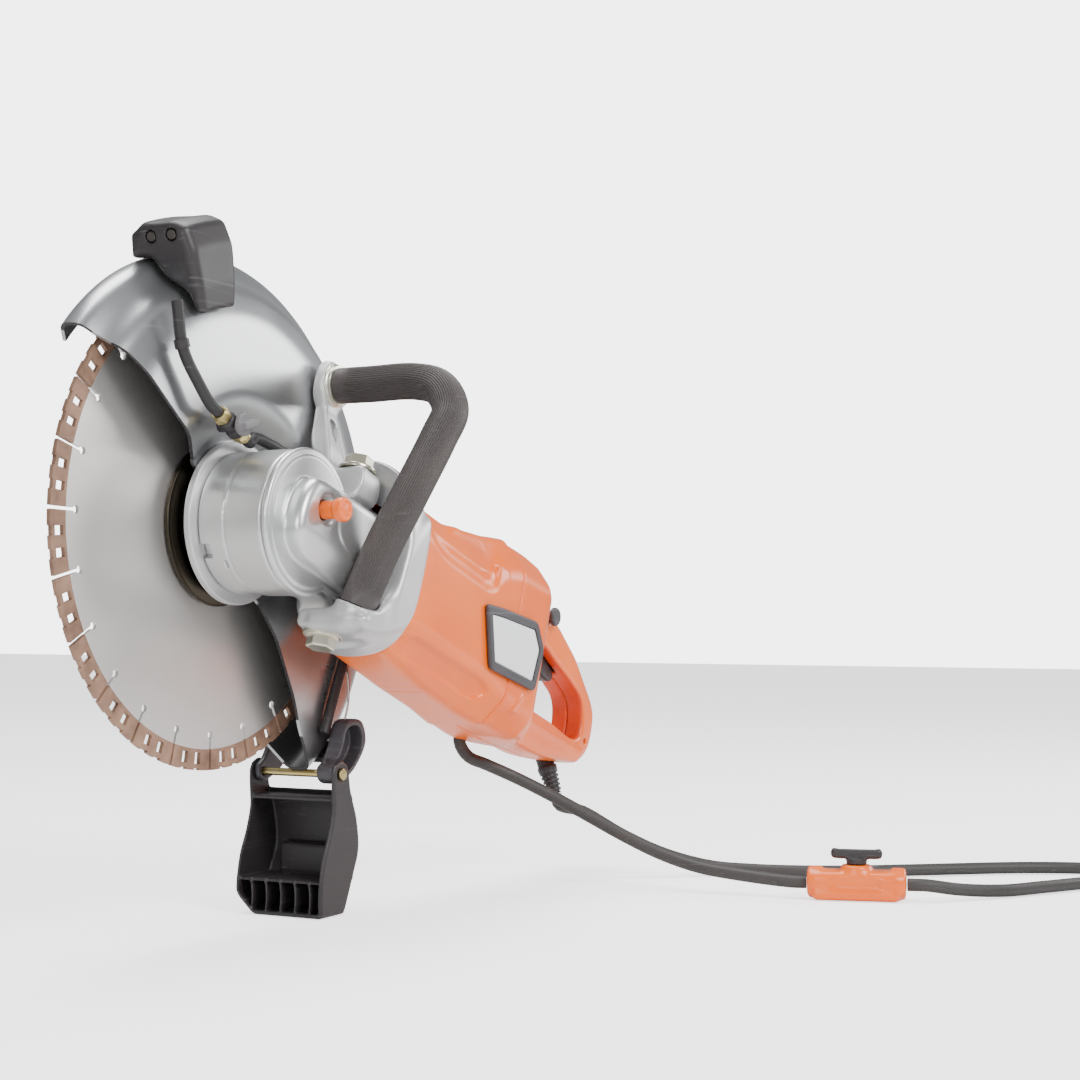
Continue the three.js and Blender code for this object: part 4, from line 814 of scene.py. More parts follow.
@dataclass
class Lines:
    """The power cord, the water hose, and the pieces on them, lying on the floor."""

    radius: float = 5.0
    coil_at: tuple[float, float] = (-625.0, 580.0)
    coil_radius: float = 55.0
    turns: float = 4.25
    valve_at: tuple[float, float] = (-351.0, 361.0)
    valve_turn: float = 1.83
    valve_size: tuple[float, float, float] = (78.0, 30.0, 27.0)
    relief_length: float = 24.0
    plug_radius: float = 18.0

    def __post_init__(self) -> None:
        """Works out the floor's level and the level of a line that lies on it."""
        self.floor = -float(ARBOR[2])
        self.line_z = self.floor + self.radius + GAP
        self.cord_exit = np.array([-386.0, 71.0, -198.0])
        self.cord_way = unit((0.02, 0.35, -0.94))

    def power_route(self) -> Points:
        """The power cord's route to the floor and along it, then round the coil in a flat winding."""
        start = self.cord_exit + self.cord_way * (self.relief_length + GAP)
        z = self.line_z
        free = np.array([
            start, start + self.cord_way * (10 - GAP), (-381, 108, -234), (-392, 140, -253),
            (-407, 172, -269),
            (-428, 206, -280), (-441, 240, z), (-449, 278, z), (-468, 318, z), (-497, 358, z), (-526, 396, z),
            (-556, 438, z), (-575, 480, z), (-581, 518, z),
        ])
        count = int(18 * self.turns)
        t = np.linspace(0.0, 1.0, count)
        begin = math.radians(-52)
        angle = begin + t * self.turns * 2 * math.pi
        turn = t * self.turns
        inner, outer = self.coil_radius - self.radius, self.coil_radius + self.radius
        lift = 1 / (1 + np.exp(-(turn - 2.1) * 9))
        first = 1 / (1 + np.exp(-(turn - 1.05) * 7))
        second = 1 / (1 + np.exp(-(turn - 3.15) * 7))
        r = outer + (inner - outer) * first + (outer - inner) * second
        coil = np.stack([
            self.coil_at[0] + r * np.cos(angle),
            self.coil_at[1] + r * np.sin(angle),
            z + 2 * self.radius * lift,
        ], 1)
        return np.vstack([free, coil])

    def valve_end(self, way: int, gap: float) -> Points:
        """A point straight out of one end of the valve block."""
        reach = way * (self.valve_size[0] / 2 + gap)
        return np.array([
            self.valve_at[0] + math.cos(self.valve_turn) * reach,
            self.valve_at[1] + math.sin(self.valve_turn) * reach,
            self.line_z + 7,
        ])

    def hose_route(self) -> Points:
        """The water hose's route from the saw to the valve block."""
        return np.array([
            (-270, 50, -157), (-268, 51, -171), (-272, 57, -182), (-280, 68, -188), (-294, 88, -199),
            (-308, 112, -213), (-319, 142, -230),
            (-326, 172, -246), (-330, 202, -259), (-332, 234, -268), (-334, 264, -272),
            self.valve_end(-1, 12), self.valve_end(-1, GAP),
        ])

    def outlet_route(self) -> Points:
        """The hose's route from the valve block to its connector."""
        z = self.line_z
        return np.array([
            self.valve_end(1, GAP), self.valve_end(1, 14), (-384, 434, -280), (-412, 460, z), (-450, 486, z),
            (-490, 512, z), (-520, 542, z), (-536, 576, z),
        ])

    def line(self, name: str, route: Points, node_names: Sequence[str]) -> tuple[bpy.types.Object, Points]:
        """Makes one round line along a route and returns it with its centreline in metres."""
        path = smooth_line(route, 4.0)
        shape = sweep(path, steady(self.radius), 20)
        piece = dress(name, shape, CORD_RUBBER, Body.MACHINE, node_names, from_stand)
        return piece, from_stand(path)

    def along(self, profile: Sequence[Sequence[float]], at: Sequence[float], way: Sequence[float],
              soft: float = 1.0) -> tuple[Points, Points]:
        """A turned piece that starts at a point on a line and runs along it."""
        return turned_piece(profile, at, way, 40, soft)

    def relief(self) -> bpy.types.Object:
        """The ribbed, tapered strain relief where the cord leaves the rear handle."""
        profile = [(0, -9), (7.5, -9), (7.5, -1), (8.5, 0), (8.5, 3)]
        for k in range(5):
            y = 4.0 + 3.9 * k
            r = 8.1 - 0.45 * k
            profile += [(r, y), (r, y + 2.2), (r - 1.5, y + 2.4), (r - 1.5, y + 3.6)]
        profile += [(self.radius + 0.8, self.relief_length), (0, self.relief_length)]
        shape = self.along(profile, self.cord_exit, self.cord_way, 0.4)
        return dress("strain_relief_boot", shape, BLACK, Body.MACHINE, ["strain_relief"],
            from_stand)

    def plug(self) -> tuple[bpy.types.Object, bpy.types.Object]:
        """The two-pin plug with its tapered tail and finger grooves."""
        r = self.plug_radius
        profile = [(0, 0), (6, 0), (6.5, 20), (r - 3, 23), (r - 1, 27), (r - 1, 34), (r - 3, 36), (r - 3, 39),
                   (r - 1, 41), (r - 1, 45), (r - 3, 47), (r - 3, 50), (r, 52), (r, 60), (0, 60)]
        at = np.array([self.coil_at[0] - 31, self.coil_at[1] + self.coil_radius + 10.3 + 6.5,
            self.floor + r + GAP])
        pins = [
            turned_piece([(0, 58), (2.4, 58), (2.4, 76), (1.2, 78), (0, 78)], at + [0, way * 9.5, 0],
            (-1, 0, 0), 16, 0.6)
            for way in (-1, 1)
        ]
        body = turned_piece(profile, at, (-1, 0, 0), 48, 1.2)
        plug = dress("mains_plug", body, BLACK, Body.MACHINE, ["power_plug"], from_stand)
        brass = dress("plug_pins", joined(*pins), BRASS, Body.MACHINE, (), from_stand)
        return plug, brass

    def connector(self, route: Points) -> bpy.types.Object:
        """The brass hose coupling on the free end, with a ring cut by two fine grooves, and a neck groove."""
        way = route[-1] - route[-2]
        way[2] = 0
        profile = [(0, 0.5), (7, 0.5), (7.5, 12), (9.5, 14), (9.5, 18), (8.7, 18.6), (9.5, 19.2), (9.5, 23),
                   (8.7, 23.6), (9.5, 24.2), (9.5, 30), (7.5, 32), (6.2, 33), (6.2, 36), (7, 37), (7, 44),
                   (0, 44)]
        at = np.array([route[-1][0], route[-1][1], self.floor + 9.5 + GAP])
        shape = self.along(profile, at, unit(way), 0.5)
        return dress("hose_coupling", shape, BRASS, Body.MACHINE, ["hose_connector"], from_stand)

    def valve(self) -> tuple[bpy.types.Object, bpy.types.Object]:
        """The orange valve block with its collars and waist, and its black lever."""
        length, width, height = self.valve_size
        c, s = math.cos(self.valve_turn), math.sin(self.valve_turn)

        def place(points: Points) -> Points:
            """Turns the block about its upright middle and moves it to its place."""
            p = np.asarray(points, float)
            return from_stand(np.stack([
                self.valve_at[0] + p[:, 0] * c - p[:, 1] * s,
                self.valve_at[1] + p[:, 0] * s + p[:, 1] * c,
                self.floor + p[:, 2],
            ], 1))

        half, w = length / 2, width / 2
        grid = Solid((-half - 4, -w - 4, -3), (half + 4, w + 4, height + 4), 0.8)
        hull = grid.box((-half, -w, GAP), (half, w, height - 3), 9)
        base = grid.box((-half + 6, -w, GAP), (half - 6, w, 7), 4)
        collars = blend_min(
            grid.bar_x(0, 13, 12.2, -half + 1, -half + 13, 3),
            grid.bar_x(0, 13, 12.2, half - 13, half - 1, 3), 1)
        turret = np.sqrt(grid.x**2 + grid.y**2) - 12
        turret = blend_max(turret, np.abs(grid.z - (height - 8)) - 8, 2.5)
        shape = blend_min(blend_min(blend_min(hull + 1.2, base, 4), collars, 2), turret, 4)
        scallop = grid.box((-19, w - 2.5, 9), (19, w + 9, 18), 5)
        scallop = np.minimum(scallop, grid.box((-19, -w - 9, 9), (19, -w + 2.5, 18), 5))
        shape = blend_max(shape, -scallop, 3)
        block = dress("valve_body", grid.skin(shape), ORANGE, Body.MACHINE,
            ["valve_block"], place)
        grid = Solid((-24, -12, height - 3), (24, 12, height + 17), 0.6)
        disc = np.sqrt(grid.x**2 + grid.y**2) - 8
        disc = blend_max(disc, np.abs(grid.z - height - 2.9) - 2.5, 1.2)
        bar = grid.box((-20, -4, height + 4.4), (20, 4, height + 13), 4)
        dish = grid.capsule((-13, 0, height + 16.5), (13, 0, height + 16.5), 5)
        shape = blend_max(blend_min(disc, bar, 2), -dish, 1.5)
        lever = dress("valve_handle", grid.skin(shape), BLACK, Body.VALVE, ["valve_lever"],
            place)
        return block, lever

    def clips(self) -> bpy.types.Object:
        """Two small ties that hold the coil's turns together."""
        shapes = []
        for angle in (1.2, 4.1):
            middle = np.array([
                self.coil_at[0] + self.coil_radius * math.cos(angle),
                self.coil_at[1] + self.coil_radius * math.sin(angle),
                self.floor + 2 * self.radius + GAP,
            ])
            out = np.array([math.cos(angle), math.sin(angle), 0.0])
            turn = np.linspace(0, 2 * math.pi, 49)[:-1]
            r = 2 * self.radius + 1.2
            c, s = np.cos(turn)[:, None], np.sin(turn)[:, None]
            size = (np.abs(c) ** 4 + np.abs(s) ** 4) ** -0.25
            loop = middle + size * r * (c * out + s * np.array([0, 0, 0.93]))
            side = np.array([-math.sin(angle), math.cos(angle), 0.0])
            rim = [loop - 2 * side, loop + 2 * side, loop + 2 * side + 0.09 * (loop - middle),
                loop - 2 * side + 0.09 * (loop - middle)]
            points = np.stack(rim, 0).reshape(-1, 3)
            shapes.append((points, grid_faces(4, 48, wrap_rows=True)))
        return dress("coil_ties", joined(*shapes), BLACK, Body.MACHINE, (), from_stand)

    def build(self) -> None:
        relief = self.relief()
        plug, pins = self.plug()
        block, lever = self.valve()
        route = self.power_route()
        cord, path = self.line("mains_cord", route, ["power_cord", "cord_coil"])
        ties = self.clips()
        hose, hose_path = self.line("supply_hose", self.hose_route(), ["water_hose"])
        outlet_route = self.outlet_route()
        outlet, outlet_path = self.line("inlet_hose", outlet_route, ["water_hose_end"])
        coupling = self.connector(outlet_route)


# ---------------------------------------------------------------- blade and its flanges


@dataclass
class Blade:
    """The diamond blade: a ground steel core, and segments with windows on its rim."""

    radius: float = 174.9
    joint: float = 160.0
    bore: float = 12.7
    segments: int = 24
    first_slot: float = -3.4
    slot_depth: float = 25.0
    core: float = 2.5
    rim: float = 3.0
    slot_half: float = 0.4
    window_half: float = 1.05
    windows: tuple[float, float] = (162.5, 170.5)

    def ring_plate(self, radii: Points, angles: Points, solid: Points, thick: float) -> tuple[Points, Points]:
        """A flat plate on a grid of radii and angles, of which only the solid cells are made.

        Top and bottom faces cover the solid cells, and a wall closes each edge where solid meets gap.

        Args:
            radii: the grid's radii.
            angles: the grid's angles in degrees, which go all the way round.
            solid: which cells are filled, one per radius gap and angle gap.
            thick: the plate's thickness.
        Returns:
            Points in millimetres and the quads.
        """
        rows, columns = len(radii), len(angles)
        turn = np.radians(angles)[None, :]
        r = radii[:, None]
        flat = np.stack([r * np.cos(turn), r * 0 + turn * 0, r * np.sin(turn)], -1).reshape(-1, 3)
        top = flat + [0, thick / 2, 0]
        points = np.vstack([top, flat - [0, thick / 2, 0]])
        number = np.arange(rows * columns).reshape(rows, columns)
        ahead = np.roll(number, -1, axis=1)
        cell = np.stack([number[:-1], ahead[:-1], ahead[1:], number[1:]], -1)
        low = len(flat)
        quads = [cell[solid], cell[solid][:, ::-1] + low]
        edges = (
            (np.vstack([~solid[:1] | True, ~solid[:-1]]) & solid, (0, 1)),
            (np.vstack([~solid[1:], ~solid[:1] | True]) & solid, (2, 3)),
            (~np.roll(solid, 1, axis=1) & solid, (3, 0)),
            (~np.roll(solid, -1, axis=1) & solid, (1, 2)),
        )
        for where, (a, b) in edges:
            p, q = cell[where][:, a], cell[where][:, b]
            quads.append(np.stack([q, p, p + low, q + low], 1))
        return points, np.vstack(quads)

    def spans(self, radii: Points, angles: Points) -> tuple[Points, Points]:
        """Returns each cell's middle radius, and its middle angle in degrees from the nearest slot."""
        r = (radii[:-1] + radii[1:]) / 2
        a = angles + np.diff(np.append(angles, angles[0] + 360)) / 2
        pitch = 360 / self.segments
        return r[:, None], ((a - self.first_slot + pitch / 2) % pitch - pitch / 2)[None, :]

    def build(self) -> None:
        """Makes the core, the segments and the two clamping flanges."""
        pitch = 360 / self.segments
        cuts = []
        for k in range(self.segments):
            slot = self.first_slot + k * pitch
            cuts += [slot + d for d in (-1.0, -0.6, -self.slot_half, self.slot_half, 0.6, 1.0)]
            for j in (1, 2):
                window = slot + j * pitch / 3
                cuts += [window - self.window_half, window + self.window_half]
            cuts += [slot + d for d in (2.4, 7.5, 12.4)]
        angles = np.sort(np.array(cuts) % 360)
        keyhole = self.radius - self.slot_depth
        radii = np.array([self.bore, 59, 105, 130, keyhole - 2.6, keyhole - 1.7, keyhole + 1.7,
            keyhole + 2.6, self.joint])
        r, a = self.spans(radii, angles)
        in_keyhole = (((np.abs(a) < 1.0) & (np.abs(r - keyhole) < 1.7))
                      | ((np.abs(a) < 0.6) & (np.abs(r - keyhole) < 2.6)))
        solid = ~(in_keyhole | ((np.abs(a) < self.slot_half) & (r > keyhole)))
        core = self.ring_plate(radii, angles, solid, self.core)
        dress("blade_core", core, BLADE_STEEL, Body.SPINDLE, ["blade"], sharp_deg=30)
        radii = np.array([self.joint, self.joint + 1.2, *self.windows, self.radius - 1.2, self.radius])
        r, a = self.spans(radii, angles)
        third = pitch / 3
        off_window = np.abs(np.abs(a) - third)
        in_window = (off_window < self.window_half) & (r > self.windows[0]) & (r < self.windows[1])
        notch = (off_window < self.window_half) & (r > self.radius - 1.2)
        solid = ~(in_window | notch | (np.abs(a) < self.slot_half))
        rim = self.ring_plate(radii, angles, solid, self.rim)
        dress("blade_segments", rim, SEGMENT, Body.SPINDLE, (), sharp_deg=30)
        for way, node in ((1, "inner_flange"), (-1, "outer_flange")):
            face = 1.8
            profile = rounded(
                [(12.7, face), (59, face), (59, face + 3.3), (57.5, face + 3.6), (52, face + 6.4),
                (45, face + 7.4),
                 (30, face + 7.4), (28.5, face + 6.6), (12.7, face + 6.6)], 0.7)
            shape = lathe(np.vstack([profile, profile[:1]]) * [1, way], 120)
            dress(f"{node}_turned", shape, FLANGE_STEEL, Body.SPINDLE, [node], sharp_deg=30)
        outer = -(1.8 + 7.4 + GAP)
        collar = turned_piece([(0, 0), (20, 0), (20, 2.4), (12, 3), (0, 3)], (0, outer, 0), (0, -1, 0), 64)
        head = prism(6, 11, 2.6, 11, (0, outer, 0), (0, -1, 0), 0.9)
        shank = turned_piece([(0, 0), (4.7, 0), (4.7, 24), (0, 24)], (0, outer - 1, 0), (0, 1, 0), 24)
        dress("arbor_bolt_zinc", joined(collar, head, shank), ZINC, Body.SPINDLE,
            ["arbor_bolt"], sharp_deg=25)


# ---------------------------------------------------------------- guard, its handle and water line


@dataclass
class Guard:
    """The swinging blade guard, its own handle, the water line on it and the bracket at its lower end."""

    front: float = 21.2
    rear: float = 222.0
    wall: float = 2.5
    handle_from: float = 47.0
    handle_to: float = 62.0
    top_line: tuple = ((178, -24.5), (193.5, -17.6), (192, -0.6), (177.5, 8), (168, 20.5), (145, 28),
        (89, 30),
                       (66, 19.6), (61, 16.4), (37.3, 16.4))
    bottom_line: tuple = ((184, -14.6), (206, -0.6), (206, 18.6), (190, 21), (169, 21.5), (144, 25),
        (94, 25.5),
                          (66, 19.6), (61, 16.4), (37.3, 16.4))
    tap_at: tuple = (56.0, 41.0, 50.0)

    def line_pair(self) -> tuple[Points, Points]:
        """The wall's outer line at the guard's top and at its bottom, rounded the same way."""
        reach = 7.0
        return rounded(self.top_line, reach, 6), rounded(self.bottom_line, reach, 6)

    def shell(self) -> None:
        """Sweeps the wall's section round the arbor.

        The section moves from the top line to the bottom line over the second half of the sweep, by an
        eased share 3t^2 - 2t^3. The inner line lies a wall inside the outer one. Both ends are closed flat.
        """
        top, bottom = self.line_pair()
        steps = 181
        t = np.linspace(0, 1, steps)
        half = np.clip((t - 0.5) / 0.5, 0, 1)
        share = (half * half * (3 - 2 * half))[:, None, None]
        line = top[None] + (bottom - top)[None] * share
        lean = np.gradient(line, axis=1)
        normal = np.stack([-lean[..., 1], lean[..., 0]], -1)
        normal /= np.linalg.norm(normal, axis=-1)[..., None]
        depths = np.array([0.0, 0.35, 1.25, 2.15, 2.5]) * self.wall / 2.5
        outer, inner = line, line + normal * self.wall
        edge0 = [line[:, :1] + normal[:, :1] * d for d in depths[1:-1]]
        edge1 = [line[:, -1:] + normal[:, -1:] * d for d in depths[1:-1]]
        loop = np.concatenate([outer, *edge1, inner[:, ::-1], *edge0[::-1]], 1)
        degrees = self.front + t * (self.rear - self.front)
        angle = np.radians(degrees)[:, None]
        ring = np.stack([loop[..., 0] * np.cos(angle), loop[..., 1], loop[..., 0] * np.sin(angle)], -1)
        count = ring.shape[1]
        n = line.shape[1]
        faces = grid_faces(steps, count)
        cap_outer = np.arange(n - 1)
        match = count - 4 - np.arange(n)
        ends = []
        for start, flip in ((0, False), ((steps - 1) * count, True)):
            a, b = start + cap_outer, start + cap_outer + 1
            c, d = start + match[cap_outer + 1], start + match[cap_outer]
            quad = np.stack([a, b, c, d], 1)
            ends.append(quad if flip else quad[:, ::-1])
            rim0 = [start + 0, *(start + count - 1 - np.arange(3)), start + match[0]]
            rim1 = [start + n - 1, *(start + n + np.arange(3)), start + match[n - 1]]
            ends.append([rim0])
            ends.append([rim1])
        piece = make_object("guard_casting", from_machine(ring.reshape(-1, 3)), [faces, *ends], 32)
        piece.data.materials.append(GUARD_SILVER.build())
        piece.data.materials.append(GUARD_BLACK.build())
        centres = np.empty(len(piece.data.polygons) * 3)
        piece.data.polygons.foreach_get("center", centres)
        inward = self.inner_faces(centres.reshape(-1, 3), ring, n)
        piece.data.polygons.foreach_set("material_index", inward.astype(np.int32))
        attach(piece, Body.GUARD.value)
        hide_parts("guard_shell")
        LOG.info("guard_casting: %d faces", len(piece.data.polygons))

    def inner_faces(self, centres: Points, ring: Points, n: int) -> Points:
        """Says which faces lie on the inner line: those nearer to it than to the outer one."""
        c, s = math.cos(NOSE_UP), math.sin(NOSE_UP)
        local = centres / MM - ARBOR
        x = local[:, 0] * c + local[:, 2] * s
        z = -local[:, 0] * s + local[:, 2] * c
        r, y = np.hypot(x, z), local[:, 1]
        degrees = np.degrees(np.arctan2(z, x)) % 360
        row = np.clip(np.round((degrees - self.front) / (self.rear - self.front) * (len(ring) - 1)),
                      0, len(ring) - 1)
        row = row.astype(int)
        radial = np.hypot(ring[..., 0], ring[..., 2])
        outer_gap = np.full(len(r), 1e9)
        inner_gap = np.full(len(r), 1e9)
        count = ring.shape[1]
        for k in range(n):
            for column, gap in ((k, outer_gap), (count - 4 - k, inner_gap)):
                away = np.hypot(radial[row, column] - r, ring[row, column, 1] - y)
                np.minimum(gap, away, out=gap)
        return inner_gap < outer_gap

    def handle(self) -> None:
        """The guard's black handle that hugs the rim, with two screws in its front face."""
        section = rounded(
            [(194.6, -16), (212, -14), (218, -4), (218, 22), (212, 34), (196, 38), (170, 37), (152, 34.5),
             (152, 29.5), (168.5, 24.0), (178.4, 9.6), (193.2, 0.6), (193.6, -10)], 3, 4, closed=True)
        middle = math.radians((self.handle_from + self.handle_to) / 2)
        c, s = math.cos(middle), math.sin(middle)
        grid = Solid((-34, -22, 140), (34, 44, 226), 1.0)
        reach = np.sqrt(grid.x**2 + grid.z**2)
        flat_r = np.arange(138, 230, 0.5)
        flat = outline_distance(section, flat_r[:, None], grid.y[0, :, 0][None, :])
        column = np.clip((reach - flat_r[0]) / 0.5, 0, len(flat_r) - 2)
        low = np.floor(column).astype(int)[:, 0, :]
        part = (column[:, 0, :] - low)[:, None, :]
        values = np.moveaxis(flat[low], 2, 1) * (1 - part) + np.moveaxis(flat[low + 1], 2, 1) * part
        half = math.radians(self.handle_to - self.handle_from) / 2
        taper = 1.0 - 0.16 * np.clip((190 - reach) / 40, 0, 1)
        ends = np.abs(np.arctan2(grid.x, grid.z)) * reach - half * 196 * taper
        shape = blend_max(values, ends, 8)
        finger = grid.capsule((-40, -14, 221), (40, -14, 221), 7)
        shape = blend_max(shape, -finger, 6)
        saddle = grid.capsule((-28, 16, 262), (28, 16, 262), 44)
        shape = blend_max(shape, -saddle, 5)
        front = half * 196
        for y, z in ((5, 207), (22, 207)):
            recess = grid.capsule((-front - 3, y, z), (-front + 3.2, y, z), 4.4)
            recess = np.minimum(recess, grid.capsule((front - 3.2, y, z), (front + 3, y, z), 4.4))
            shape = blend_max(shape, -recess, 0.8)

        def lay(points: Points) -> Points:
            """Turns the upright handle to its angle about the arbor."""
            p = np.asarray(points, float)
            return from_machine(np.stack([p[:, 0] * s + p[:, 2] * c, p[:, 1], -p[:, 0] * c + p[:, 2] * s], 1))

        dress("guard_grip", grid.skin(shape), BLACK, Body.GUARD, ["guard_handle"], lay)
        heads = [
            prism(40, 3.6, 0, 2.4, (way * (front - 2.6), y, 207), (way, 0, 0), 0.6)
            for way in (1, -1) for y in (5, 22)
        ]
        dress("guard_grip_screws", joined(*heads), DARK_STEEL, Body.GUARD, (), lay)

    def water(self) -> None:
        """The tap, its nuts and knob, and the hoses that run from it."""
        tap = np.array(self.tap_at)
        way = unit((0.87, 0, 0.1))
        body = turned_piece([(0, -9), (6, -9), (7, -7), (7, -3), (6, -2), (6, 2), (7, 3), (7, 7), (6, 9),
            (0, 9)], tap, way, 40, 0.6)
        stem = turned_piece([(0, -9.8), (4.5, -9.8), (4.5, 0), (5.5, 1), (5.5, 8), (0, 8)], tap, (0, 1, 0),
            32, 0.5)
        dress("tap_casting", joined(body, stem), BLACK, Body.GUARD, ["tap_body"])
        for k, side in ((1, 1), (2, -1)):
            out = way * side
            start = tap + out * 9.3
            nut = prism(6, 6.5, 0, 4.6, start, out, 0.6)
            sleeve = turned_piece([(0, 3), (5.4, 3), (5.4, 7.6), (0, 7.6)], start, out, 32, 0.5)
            dress(f"brass_nut_{k}_turned", joined(nut, sleeve), BRASS, Body.GUARD,
                [f"brass_nut_{k}"], sharp_deg=25)
        grid = Solid((-10, -1, -10), (10, 13, 10), 0.4)
        disc = blend_max(np.sqrt(grid.x**2 + grid.z**2) - 8, np.abs(grid.y - 2.3) - 2, 1)
        c, s = math.cos(0.6), math.sin(0.6)
        u, v = grid.x * c - grid.z * s, grid.x * s + grid.z * c
        wing = blend_max(blend_max(np.abs(u) - 8, np.abs(v) - 2.4, 1), np.abs(grid.y - 6) - 5, 1.5)
        points, faces = grid.skin(blend_min(disc, wing, 1.5))
        dress("tap_wing", (points + tap + [0, 8, 0], faces), GREY, Body.TAP, ["tap_knob"])
        runs = {
            "upper_hose": [tap + way * 17.3, tap + way * 26, (97, 39, 62), (119, 37, 78), (135, 36, 106)],
            "inner_hose": [tap - way * 17.3, tap - way * 24, polar(60, 38, 66), polar(59, 37, 86),
            polar(63, 36, 104),
                           polar(72, 35.4, 116)],
            "lower_hose": [polar(161, 27.4, 194), polar(164, 26.9, 198), polar(169, 26.4, 204),
            polar(178, 26, 211),
                           polar(186, 26, 216)],
        }
        for name, route in runs.items():
            path = smooth_line(np.array(route), 2.0)
            shape = sweep(path, steady(4.0), 24)
            dress(f"{name}_rubber", shape, HOSE_BLACK, Body.GUARD, [name])
        path = smooth_line(np.array(runs["upper_hose"]), 2.0)
        middle = int(len(path) * 0.62)
        clip = sweep(path[middle : middle + 4], steady(5.2), 32)
        dress("hose_clip", clip, BLACK, Body.GUARD)
        wire = smooth_line(np.array([
            polar(165, 26.5, 197), polar(172, 31, 201), polar(183, 34, 207), polar(192, 32, 212),
            polar(196, 24, 215),
        ]), 1.5)
        shape = sweep(wire, steady(0.9), 10)
        dress("hose_wire", shape, STEEL, Body.GUARD)

    def bracket(self) -> None:
        """The Y-shaped bracket that hugs the guard's lower end and carries the flap's pin."""
        step = 0.8
        grid = Solid((-46, -34, -14), (14, 46, 44), step)
        lug = smooth_line(np.array([
            (7, -2), (7, 5), (0, 10), (-8, 22), (-16, 38), (-34, 38), (-40, 22), (-24, 2), (-7, -6),
            (0, -7.5), (5, -5)]),
            1.5, closed=True)
        x, z = grid.x + FLAP_HINGE[0], grid.z + FLAP_HINGE[2]
        reach = np.sqrt(x**2 + z**2)
        degrees = np.degrees(np.arctan2(z, x)) % 360 - math.degrees(NOSE_UP)
        strap = blend_max(np.abs(reach - FLAP_HINGE_R) - 2.6, np.abs(degrees - 212.5) * 3.65 - 4.5 * 3.65,
            1.5)
        strap = blend_max(strap, np.abs(grid.y - 6.5) - 20, 1.5)
        near = grid.slab(lug, 26.2, 41.7, 3)
        far = grid.slab(lug, -28.7, -24.7, 1.2)
        hollow = grid.slab(lug * 0.78 + np.array([-3, 4]), 29.5, 60, 2)
        shape = blend_min(blend_min(blend_max(near, -hollow, 1.2), far, 1), strap, 2.5)
        hole = grid.bar_y(0, 0, 3.4, -60, 60, 0.5)
        shape = blend_max(shape, -hole, 0.5)

        def place(points: Points) -> Points:
            """Moves the bracket from the hinge to its place."""
            return from_stand(np.asarray(points, float) + FLAP_HINGE)

        dress("flap_bracket", grid.skin(shape), DARK_GREY, Body.GUARD, ["spray_bracket"],
            place)
        pin = turned_piece([(0, -34), (3, -34), (3, 47), (0, 47)], (0, 0, 0), (0, 1, 0), 32, 0.8)
        rivet = turned_piece([(0, 45), (4.6, 45), (4.2, 46.8), (2, 47), (1.6, 46.2), (0, 46.2)], (0, 0, 0),
            (0, 1, 0), 40, 0.3)
        dress("hinge_pin", joined(pin, rivet), BRASS, Body.GUARD, ["flap_pin"], place)

    def build(self) -> None:
        """Makes everything that swings with the guard."""
        self.shell()
        self.handle()
        self.water()
        self.bracket()


